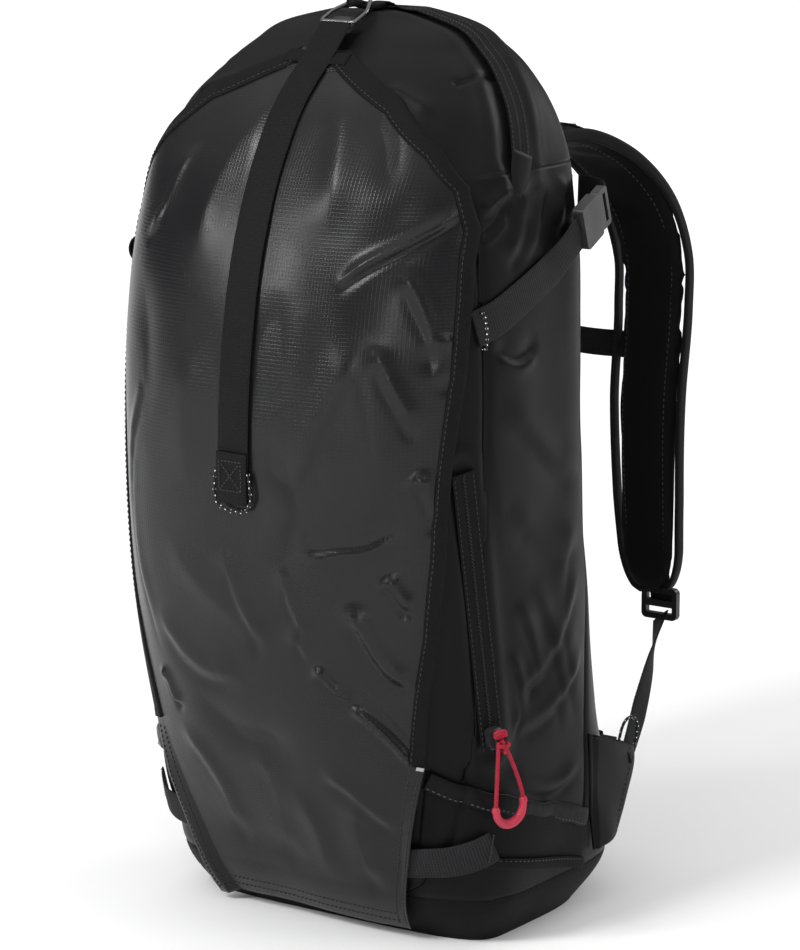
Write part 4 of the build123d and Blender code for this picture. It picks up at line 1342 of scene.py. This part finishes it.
def make_knot():
    """Overhand knot of the pull below the slider, and the hitch through the slider's bridge."""
    turns = []
    centre = np.array(pull_origin) + np.array(side_across) * 1.5 * MM - np.array(side_up) * 6 * MM
    x, y, out = np.array(side_across), np.array(side_up), np.array(side_face)
    for t in np.linspace(0, 2 * np.pi, 26):
        turns.append(
            centre + x * (2.3 * math.sin(t) + 1.9 * math.sin(2 * t)) * MM
            + y * (2.1 * math.cos(t) - 1.9 * math.cos(2 * t)) * MM + out * 1.6 * math.sin(3 * t) * MM
        )
    knot = meshed(tube("knot", turns, 1.45 * MM, "red_cord", "red_pull", 10))
    hitch = []
    top = np.array(pull_origin) + y * 4.0 * MM
    for t in np.linspace(0, 4 * np.pi, 30):
        climb = 2.2 * math.sin(t) + 1.7 * (t / (4 * math.pi) - 0.5) * 2
        depth = 1.4 * math.sin(t + 0.8) - 0.4
        hitch.append(top + x * 3.6 * math.cos(t) * MM + y * climb * MM + out * depth * MM)
    wrap = meshed(tube("hitch", hitch, 1.4 * MM, "red_cord", "red_pull", 10))
    knot = join("pull_knot", [knot, wrap], "red_pull")
    return knot


make_knot()

# ---- side pockets, hems and lower webbing ---------------------------------------------------------
POCKET_FOOT = np.array(((-96, 62), (-58, 65), (-25, 58), (24, 47), (56, 38)), float)
POCKET_HEM = np.array(((-96, 136), (-78, 126), (-60, 118), (-40, 110), (-18, 103), (20, 92), (56, 81)), float)


def on_bag(points, lift):
    """Points moved to stand off the bag's cloth, relief and all."""
    normals = outward(points)
    return points + normals * (bag_relief(points) + lift * MM)[..., None], normals


def pocket_start(z, beyond=-3.0):
    """How far forward the side's trim reaches at a height, from a distance beyond the flap's tongue."""
    x = flap_half_width(z) + beyond
    wide, deep, back, power = station(z)
    return -deep * np.clip(1 - (x / wide) ** power, 0, 1) ** (1 / power)


def make_pocket(hand):
    """Stretch pocket with a gathered elastic hem."""
    columns, rows = 110, 46
    along = np.linspace(0, 1, columns)
    grid = np.zeros((rows, columns, 3))
    uv = np.zeros((rows, columns, 2))
    for r in range(rows):
        share = r / (rows - 1)
        start = pocket_start(60 + 66 * share)
        y = start + (52 - start) * along
        low = np.interp(y, POCKET_FOOT[:, 0], POCKET_FOOT[:, 1])
        hem = np.interp(y, POCKET_HEM[:, 0], POCKET_HEM[:, 1]) + 0.8 * np.sin(y / 9.0) + 0.5 * np.sin(y / 4.1)
        z = low + (hem - low) * share
        base = side(y, z, 0.0, hand)
        bulge = 3.2 * math.sin(math.pi * min(share, 0.9)) ** 0.7 * np.clip((y - start) / 26, 0, 1) + 1.2
        gather = 0.05 * share ** 3 * np.sin(y / 1.35 + 0.5 * np.sin(y / 7))
        slack = 1.3 * np.sin(y / 17.0 + 3.0 * share) * share * (1 - share) * 2
        grid[r], normals = on_bag(base, bulge + gather + slack)
        uv[r, :, 0] = y * MM
        uv[r, :, 1] = z * MM
    if hand < 0:
        grid = grid[:, ::-1]
        uv = uv[:, ::-1]
    side_name = HANDS[hand]
    pocket = grid_mesh("pocket_" + side_name, grid, uv, "base", "pack", thick=0.9 * MM)
    top = grid[-1]
    normals = outward(top)
    middle = top - np.array((0, 0, 6.2)) * MM + normals * 0.6 * MM
    hem_band = ribbon("hem", middle, normals, 13.5 * MM, 1.6 * MM, "bag", "pack", 0.8 * MM)
    line = top - np.array((0, 0, 11.2)) * MM + normals * 1.5 * MM
    thread = stitches("hem_stitch", line, normals, "pale_thread", "pack", 0.0024, 0.0020, 0.00032)
    return pocket, join("pocket_hem_" + side_name, [hem_band, thread], "pack")


def make_pocket_edge(hand):
    """Turned lower edge of the pocket, sewn down behind the compression webbing."""
    base = line_on(side, ((-58, 68), (-25, 60), (24, 49), (50, 42)), 20, hand=hand)
    points, normals = on_bag(base, 4.4)
    band = ribbon("edge", points, normals, 8 * MM, 2.4 * MM, "base", "pack", 0.6 * MM)
    line, line_normals = on_bag(base + np.array((0, 0, 2.4)) * MM, 5.9)
    thread = stitches("edge_stitch", line, line_normals, "pale_thread", "pack", 0.0024, 0.0020, 0.0003)
    piece = join("pocket_edge_" + HANDS[hand], [band, thread], "pack")


for hand in (1, -1):
    make_pocket_edge(hand)
pockets = [make_pocket(1), make_pocket(-1)]
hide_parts("side_pockets")
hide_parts("pocket_hems")


def make_side_webbing(hand):
    """Short compression webbing under the pocket's front, sewn into the flap's corner."""
    edge = float(pocket_start(66, 3.0 if hand > 0 else 15.0))
    spots = ((edge - 9, 64), (edge - 1, 67), (edge + 8, 71), (-60, 76), (-53, 80))
    base = np.array([side(y, z, 0.0, hand) for y, z in spots])
    points, normals = on_bag(base, np.array((1.6, 4.6, 6.8, 7.0, 7.0)))
    web = ribbon("web", points, normals, 24 * MM, 1.5 * MM, "grey_webbing", "pack", 0.3 * MM)
    end = np.array([side(-55, z, 0.0, hand) for z in np.linspace(69, 89, 12)])
    end, end_normals = on_bag(end, 8.1)
    bar = stitches("bar", end, end_normals, "thread", "pack", 0.0016, 0.0003, 0.0006)
    return join("side_webbing_" + HANDS[hand], [web, bar], "pack")


side_webs = [make_side_webbing(1), make_side_webbing(-1)]
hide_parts("side_webbings")

# ---- compression straps ---------------------------------------------------------------------------
BUCKLE = np.array((147.5, 52, 505)) * MM
rise_angle = math.radians(21.0)
lean_angle = math.radians(6.0)
buckle_along = np.array((
    -math.sin(lean_angle) * math.cos(rise_angle),
    math.cos(lean_angle) * math.cos(rise_angle),
    math.sin(rise_angle),
))
buckle_out = np.array((math.cos(lean_angle), math.sin(lean_angle), 0))


def flipped(points, hand):
    """Points on the wearer's right, mirrored to the left for hand -1."""
    return np.array(points, float) * np.array((hand, 1, 1))


def make_compression(hand):
    label = HANDS[hand]
    spots = ((-80, 441), (-62, 447), (-40, 456), (-16, 465), (4, 473))
    base = np.array([side(y, z, 0.0, hand) for y, z in spots])
    points, normals = on_bag(base, 1.6)
    foot = flipped([BUCKLE - buckle_along * 25 * MM + buckle_out * 4.0 * MM], hand)
    rise_point = (points[-1] * 0.45 + foot[0] * 0.55) + flipped([(0.8 * MM, 0, 0)], hand)[0]
    points = np.concatenate([points, [rise_point], foot])
    normals = np.concatenate([normals, flipped([buckle_out, buckle_out], hand)])
    widths = np.full(len(points), 25 * MM)
    web = ribbon(
        "compression_webbing_" + label, points, normals, widths, 1.6 * MM, "grey_webbing", "pack", 0.3 * MM,
    )
    tail_start = BUCKLE + buckle_along * 14.5 * MM + buckle_out * 4 * MM
    tail_bend = BUCKLE + buckle_along * 20 * MM + buckle_out * 2.4 * MM
    tail = [tail_start, tail_bend, np.array((134, 76, 514)) * MM, np.array((120, 79.5, 514.5)) * MM]
    turn = [buckle_out, buckle_out, unit(np.array((0.7, 0.7, 0))), np.array((0.1, 1, 0))]
    tail_piece = ribbon(
        "compression_tail_" + label, flipped(tail, hand), flipped(turn, hand), 24 * MM, 1.5 * MM, "webbing", None,
    )
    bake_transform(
        tail_piece, "pack", "compression_prong_" + label, start=tuple(flipped(tail[-1], hand)),
        end=tuple(flipped(tail[0], hand)),
    )
    patch_points = np.array([rear(hand * x, 514, 0.0) for x in (126, 118, 108, 96)])
    patch_points, patch_normals = on_bag(patch_points, 1.0)
    patch = ribbon(
        "compression_patch_" + label, patch_points, patch_normals, 30 * MM, 1.2 * MM, "bag", "pack",
    )
    feet = [np.array(side(-76, z, 0.0, hand)) for z in (428, 452)]
    feet, feet_normals = on_bag(np.array(feet), 3.4)
    out = unit(feet_normals[0] + np.array((0, -0.2, 0)))
    flecked_cord("compression_loop_" + label, loop_between(feet[0], feet[1], out, 0.0075), "pack", 0.9, 3.6)
    return web, tail_piece


compressions = [make_compression(1), make_compression(-1)]
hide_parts("compression_straps")
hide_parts("compression_tails")
for label in HANDS.values():
    refinish(("buckle_socket_" + label, "buckle_prong_" + label), "grey_plastic")

# ---- wing tabs ------------------------------------------------------------------------------------
def make_wing(hand):
    """Triangle of doubled cloth sewn to the bag's rear corner, with the lower webbing's anchor."""
    base = smooth_line(np.array([(0, 60, 133), (0, 62, 90), (0, 70, 45)]), 40)
    tip = smooth_line(np.array([(0, 118, 113), (0, 120, 104), (0, 110, 76), (0, 96, 50)]), 40)
    rows = []
    for r in range(26):
        share = r / 25
        line = base * (1 - share) + tip * share
        y, z = line[:, 1], line[:, 2]
        x = 147.2 + 1.6 * np.sin(np.pi * share) + 1.0 * np.sin(z / 9.0 + 3 * share) * share * (1 - share) * 3
        foot = side(np.minimum(y, 118), z, 1.2)[:, 0] / MM
        x = np.where(share < 0.12, np.maximum(foot, 145.5), x)
        rows.append(np.stack([x, y, z], axis=1) * MM)
    grid = flipped(np.array(rows), hand)
    uv = np.zeros((*grid.shape[:2], 2))
    uv[..., 0] = grid[..., 1]
    uv[..., 1] = grid[..., 2]
    if hand < 0:
        grid = grid[::-1]
        uv = uv[::-1]
    wing = grid_mesh("wing", grid, uv, "bag", "pack", thick=1.8 * MM)
    edge = grid[-1] if hand > 0 else grid[0]
    out = np.repeat(np.array((hand, 0, 0.0))[None], len(edge), axis=0)
    inner = grid[-4] if hand > 0 else grid[3]
    seam = stitches("seam", inner + out * 0.3 * MM, out, "thread", "pack", 0.0024, 0.0014, 0.0003)
    across = grid[::-1, 1] if hand > 0 else grid[:, 1]
    seam_top = stitches("seam", across + out[:26] * 0.3 * MM, out[:26], "thread", "pack", 0.0024, 0.0014, 0.0003)
    piece = join("wing_tab_" + HANDS[hand], [wing, seam, seam_top], "pack")
    feet = flipped([(148.6, 96, 120), (148.6, 117, 112)], hand) * MM
    loop = loop_between(feet[0], feet[1], (0, 0.45, 1), 0.019)
    flecked_cord("wing_loop_" + HANDS[hand], loop, "pack", 1.1, 4.4)
    return piece


wings = [make_wing(1), make_wing(-1)]
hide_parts("wing_tabs")

# ---- shoulder straps ------------------------------------------------------------------------------
STRAP_PATH = np.array((
    (42, 82, 528, 54), (44, 120, 541, 56), (48, 165, 541, 58), (60, 207, 520, 60), (77, 229, 486, 60),
    (90, 231, 448, 60), (97, 221, 412, 60), (101, 208, 345, 58), (104, 206, 272, 54), (106, 211, 202, 46),
), float)
STRAP_THICK = 12.0


def puff(piece, pressure, cap, voxel=0.005, frames=20, stiffness=25.0):
    """Inflates a padded piece by cloth simulation, and keeps each point near where it began."""
    remesh = piece.modifiers.new("remesh", "REMESH")
    remesh.mode = "VOXEL"
    remesh.voxel_size = voxel
    apply(piece)
    before = np.zeros(len(piece.data.vertices) * 3)
    piece.data.vertices.foreach_get("co", before)
    cloth_sim = piece.modifiers.new("cloth", "CLOTH")
    settings = cloth_sim.settings
    settings.use_pressure = True
    settings.uniform_pressure_force = pressure
    settings.quality = 4
    settings.mass = 0.3
    settings.tension_stiffness = stiffness
    settings.compression_stiffness = stiffness
    settings.shear_stiffness = 8
    settings.bending_stiffness = 1.5
    settings.effector_weights.gravity = 0
    cloth_sim.point_cache.frame_start = 1
    cloth_sim.point_cache.frame_end = frames
    scene = bpy.context.scene
    for frame_number in range(1, frames + 1):
        scene.frame_set(frame_number)
    apply(piece)
    after = np.zeros(len(before))
    piece.data.vertices.foreach_get("co", after)
    move = (after - before).reshape(-1, 3)
    size = np.linalg.norm(move, axis=1, keepdims=True)
    limited = move * np.minimum(1, cap / np.maximum(size, 1e-9))
    piece.data.vertices.foreach_set("co", (before.reshape(-1, 3) + limited).reshape(-1))
    piece.data.update()
    scene.frame_set(1)
    for polygon in piece.data.polygons:
        polygon.use_smooth = True


def pad_tube(name, centre, across, face, widths, thick, material, body, exponent=3.2, sides=36):
    """A closed pad along a line, its section a rounded flat oval."""
    count = len(centre)
    angle = np.linspace(0, 2 * np.pi, sides, endpoint=False)
    c = np.sign(np.cos(angle)) * np.abs(np.cos(angle)) ** (2 / exponent)
    s = np.sign(np.sin(angle)) * np.abs(np.sin(angle)) ** (2 / 2.2)
    share = np.linspace(0, 1, count)
    reach = 0.05
    end = np.minimum(share, 1 - share) / reach
    trim = np.sqrt(np.clip(1 - (1 - np.clip(end, 0, 1)) ** 2, 0.02, 1))
    sideways = c[None] * (widths / 2 * (0.72 + 0.28 * trim))[:, None]
    upwards = s[None] * (thick / 2 * trim)[:, None]
    points = centre[:, None] + across[:, None] * sideways[..., None] + face[:, None] * upwards[..., None]
    uv = np.zeros((count, sides, 2))
    uv[..., 0] = angle[None] * widths.mean() / 2.2
    run = np.concatenate([[0], np.cumsum(np.linalg.norm(np.diff(centre, axis=0), axis=1))])
    uv[..., 1] = run[:, None]
    piece = grid_mesh(name, points, uv, material, body, closed=True)
    close_ends(piece, count, sides)
    return piece


def strap_line(count, hand=1):
    """Centre, sideways and outward directions and widths along a shoulder strap."""
    line = smooth_line(STRAP_PATH[:, :3], count) * MM
    chord = np.concatenate([[0], np.cumsum(np.linalg.norm(np.diff(STRAP_PATH[:, :3], axis=0), axis=1))])
    widths = np.interp(np.linspace(0, chord[-1], count), chord, STRAP_PATH[:, 3]) * MM
    tangent = unit(np.gradient(line, axis=0))
    across = np.repeat(np.array((1.0, 0, 0))[None], count, axis=0)
    across = unit(across - tangent * (across * tangent).sum(axis=1, keepdims=True))
    face = np.cross(tangent, across)
    face = face * np.sign(face[:, 1:2] + 0.8 * face[:, 2:3] + 1e-9)
    return flipped(line, hand), flipped(across, hand), flipped(face, hand), widths


def make_shoulder_strap(hand):
    label = HANDS[hand]
    body = "shoulder_" + label
    line, across, face, widths = strap_line(120, hand)
    foot = np.clip((1 - np.linspace(0, 1, 120)) / 0.075, 0, 1)
    widths = widths * (0.36 + 0.64 * np.sqrt(1 - (1 - foot) ** 2))
    thick = np.full(120, (STRAP_THICK - 3.0) * MM)
    pad = pad_tube("pad", line, across, face, widths - 3 * MM, thick, "strap", body)
    puff(pad, 3.0, 3.0 * MM, 0.0045)
    smooth_mod = pad.modifiers.new("smooth", "SUBSURF")
    smooth_mod.levels = 1
    apply(pad)
    parts = [pad]
    for hand_side in (1, -1):
        edge = line + across * (hand_side * (widths / 2 - 0.6 * MM))[:, None]
        piping = ribbon("piping", edge, face, 3.0 * MM, 8.4 * MM, "binding", body, 0.6 * MM)
        parts.append(piping)
    strap = join("shoulder_strap_pad_" + label, parts, body)
    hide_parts("shoulder_strap_" + label)
    rows = []
    inner = -1
    for offset in (-0.3, 0.3):
        path = line + across * (offset * widths)[:, None] + face * (inner * (STRAP_THICK / 2 + 0.1)) * MM
        channel = stitches("channel", path[8:-8], face[8:-8] * inner, "thread", body, 0.0028, 0.0016, 0.0003)
        rows.append(channel)
    lock = flipped([(106, 223.5, 197), (106, 225, 190)], hand) * MM
    daisy = np.concatenate([(line + face * (STRAP_THICK / 2 + 1.0) * MM)[6:118:4], lock])
    daisy_face = np.concatenate([face[6:118:4], [face[-1], face[-1]]])
    web = ribbon("daisy", daisy, daisy_face, 19 * MM, 1.5 * MM, "webbing", body)
    rows.append(web)
    for at in (24, 44, 64, 84):
        bar = line[at] + face[at] * (STRAP_THICK / 2 + 1.9) * MM
        path = np.array([bar + across[at] * d * MM for d in np.linspace(-9, 9, 10)])
        rows.append(stitches("bar", path, face[at], "thread", body, 0.0014, 0.0002, 0.0006))
    trim = join("shoulder_strap_webbing_" + label, rows, body)
    return strap


for hand in (1, -1):
    make_shoulder_strap(hand)
refinish(("ladder_lock_right", "ladder_lock_left"), "plastic")


def make_lower_webbing(hand):
    """Webbing from the ladder lock down to the wing tab, with its half turn."""
    label = HANDS[hand]
    start = np.array((106, 223, 180))
    end = np.array((148.2, 108, 108))
    path = [start, start + (end - start) * 0.3 + (0, 0, -5), start + (end - start) * 0.65 + (0, 0, -5), end]
    normals = [(0, 1, 0.3), (0.35, 0.8, 0.45), (0.8, 0.35, 0.4), (1, 0.05, 0.1)]
    line = flipped(path, hand) * MM
    web = ribbon("lower_strap_" + label, line, flipped(normals, hand), 19 * MM, 1.3 * MM, "webbing", None)
    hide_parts("lower_webbing_" + label)
    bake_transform(web, "pack", "shoulder_" + label, start=tuple(line[-1]), end=tuple(line[0]))
    return web


for hand in (1, -1):
    make_lower_webbing(hand)


# ---- sternum strap --------------------------------------------------------------------------------
def make_sternum(hand):
    label = HANDS[hand]
    body = "sternum_" + label
    y = 229.0
    path = [(14, y, 380), (40, y + 0.6, 379), (64, y + 0.4, 379.5), (84, y - 0.4, 380)]
    moving = hand > 0
    web = ribbon(
        "sternum_webbing_" + label, flipped(path, hand) * MM, (0, 1, 0), 20 * MM, 1.5 * MM, "webbing",
        None if moving else body, 0.25 * MM,
    )
    if moving:
        far, near = np.array(path[-1]) * MM, np.array(path[0]) * MM
        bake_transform(web, body, "sternum_clip", start=tuple(far), end=tuple(near))
    slide = flipped([(73, y + 1, 380), (84, y + 1.4, 380), (95, y + 1, 380)], hand) * MM
    clip = ribbon(
        "sternum_slide_" + label, slide, (0, 1, 0), 26 * MM, 4.5 * MM, "plastic", body, 0.8 * MM,
    )
    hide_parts("sternum_strap_" + label)


for hand in (1, -1):
    make_sternum(hand)
refinish(("sternum_socket", "sternum_prong", "hip_socket", "hip_prong"), "plastic")


# ---- back pads ------------------------------------------------------------------------------------
def make_pad(name, x_range, z_range, thick, columns=44, rows=70, pull=0.5):
    """A crowned foam pad on the bag's back, its sides pulled in between its corners."""
    x0, x1 = x_range
    z0, z1 = z_range
    u = np.linspace(-1, 1, columns)
    v = np.linspace(-1, 1, rows)
    uu, vv = np.meshgrid(u, v)
    x = (x0 + x1) / 2 + uu * (x1 - x0) / 2 * (1 - 0.035 * pull * (1 - vv ** 2))
    z = (z0 + z1) / 2 + vv * (z1 - z0) / 2 * (1 - 0.02 * pull * (1 - uu ** 2))
    crown = np.clip((1 - uu ** 6) * (1 - vv ** 10), 0, 1) ** 0.5
    outer = rear(x, z, 1.0 + thick * crown)
    inner = rear(x, z, 0.6)
    top = grid_mesh(name, outer, np.stack([x, z], axis=-1) * MM, "mesh", "pack")
    low = grid_mesh(name + "_low", inner[:, ::-1], np.stack([x, z], axis=-1)[:, ::-1] * MM, "mesh", "pack")
    work = bmesh.new()
    work.from_mesh(top.data)
    work.from_mesh(low.data)
    bmesh.ops.remove_doubles(work, verts=work.verts, dist=0.9 * MM)
    work.to_mesh(top.data)
    work.free()
    bpy.data.objects.remove(low)
    return top


def quilt(piece, spacing):
    """Sewn channels across a pad, at a spacing in millimetres."""
    for vertex in piece.data.vertices:
        z = vertex.co.z / MM
        groove = math.exp(-((z % spacing - spacing / 2) / 3.0) ** 2)
        vertex.co.y -= 2.6 * MM * groove * min(1, max(0, (vertex.co.y - 0.07) / 0.01))


for hand in (1, -1):
    across = (18, 97) if hand > 0 else (-97, -18)
    pad = make_pad("back_pad_" + HANDS[hand], across, (207, 498), 11.5)
    puff(pad, 2.0, 3.0 * MM, 0.005)
    quilt(pad, 58)
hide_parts("back_pads")
lumbar = make_pad("lumbar_cushion", (-69, 69), (52, 168), 11.5, 60, 50)
puff(lumbar, 2.0, 3.0 * MM, 0.005)
quilt(lumbar, 40)
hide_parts("lumbar_pad")


# ---- hip belt -------------------------------------------------------------------------------------
def make_hip(hand):
    label = HANDS[hand]
    body = "hip_" + label
    count = 60
    x = np.linspace(15, 97, count)
    line = np.stack([x, np.full(count, 160.0), 75 + 2 * np.sin(x / 30)], axis=1) * MM
    across = np.repeat(np.array((0, 0, 1.0))[None], count, axis=0)
    face = np.repeat(np.array((0, 1.0, 0))[None], count, axis=0)
    widths = (66 - 22 * np.clip((40 - x) / 26, 0, 1) ** 1.5) * MM - 3 * MM
    pad = pad_tube("wing", flipped(line, hand), across, face, widths, np.full(count, 9.5 * MM), "strap", body)
    puff(pad, 2.0, 2.0 * MM, 0.0045)
    pad.name = "hip_pad_" + label
    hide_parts("hip_wing_" + label)
    path = flipped([(8, 167.6, 75), (30, 167.4, 75), (52, 167.6, 75), (69, 167.4, 75)], hand) * MM
    web = ribbon("hip_strap_" + label, path, (0, 1, 0), 37 * MM, 1.3 * MM, "webbing", body, 0.2 * MM)
    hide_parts("hip_webbing_" + label)


for hand in (1, -1):
    make_hip(hand)

# ---- pieces carried over from the frame -----------------------------------------------------------
CARRIED = {
    "frame_sheet": "sheet", "frame_stay": "alloy", "airbag": "airbag", "gas_cylinder": "cylinder",
    "inflator_head": "alloy", "firing_pin": "steel", "gas_hose": "rubber", "trigger_cable": "rubber",
    "trigger_handle": "trigger", "handle_sleeve": "strap", "hip_roots": "bag",
}
for name, material in CARRIED.items():
    refinish([name], material)


# ---- length of the red pull's cord ----------------------------------------------------------------
def line_length(line):
    return float(np.linalg.norm(np.diff(line, axis=0), axis=1).sum())


round(line_length(spline_line(pull_cord)), 4)

# ---- floor and light ------------------------------------------------------------------------------
def make_floor():
    mesh = bpy.data.meshes.new("floor")
    work = bmesh.new()
    bmesh.ops.create_grid(work, x_segments=2, y_segments=2, size=90.0)
    work.to_mesh(mesh)
    work.free()
    floor = bpy.data.objects.new("floor", mesh)
    bpy.context.scene.collection.objects.link(floor)
    finish = Finish("floor_white", (0.94, 0.94, 0.94), 0.9, specular=0.1)
    centre = finish.add("ShaderNodeTexCoord")
    reach = finish.add("ShaderNodeVectorMath", operation="LENGTH")
    finish.link(centre.outputs["Object"], reach.inputs[0])
    finish.set(finish.shader, "Emission Color", (1, 1, 1, 1))
    glow = finish.ramp(reach.outputs["Value"], 0.0, 0.5, 0.7, 4.0)
    finish.link(glow, finish.shader.inputs["Emission Strength"])
    mesh.materials.append(finish.material)


def add_light(name, place, target, size, power, tall=None):
    data = bpy.data.lights.new(name, "AREA")
    data.shape = "RECTANGLE"
    data.size = size
    data.size_y = tall or size
    data.energy = power
    light = bpy.data.objects.new(name, data)
    light.location = place
    light.rotation_euler = (Vector(place) - Vector(target)).to_track_quat("Z", "Y").to_euler()
    bpy.context.scene.collection.objects.link(light)


make_floor()
add_light("key", (-0.4, -2.2, 2.4), (0, 0, 0.4), 0.6, 48, 0.8)
add_light("low", (-1.3, -2.3, 1.25), (0, 0, 0.3), 0.35, 22, 0.8)
add_light("front", (1.7, -2.0, 1.0), (0, 0, 0.3), 0.35, 13, 1.0)
add_light("side", (2.5, 0.3, 1.6), (0, 0, 0.3), 0.5, 7, 1.4)
add_light("back", (0.9, 2.3, 1.5), (0, 0, 0.35), 1.0, 14)
world = bpy.data.worlds.new("studio")
bpy.context.scene.world = world
world.use_nodes = True
sky = world.node_tree
ball = sky.nodes.new("ShaderNodeTexCoord")
height = sky.nodes.new("ShaderNodeSeparateXYZ")
dome = sky.nodes.new("ShaderNodeMapRange")
sky.links.new(ball.outputs["Generated"], height.inputs["Vector"])
sky.links.new(height.outputs["Z"], dome.inputs["Value"])
for socket, value in (("From Min", 0.3), ("From Max", 1.0), ("To Min", 0.1), ("To Max", 1.2)):
    dome.inputs[socket].default_value = value
sky.links.new(dome.outputs["Result"], sky.nodes["Background"].inputs["Strength"])
sky.nodes["Background"].inputs["Color"].default_value = (1, 1, 1, 1)
bpy.context.scene.view_settings.view_transform = "Standard"
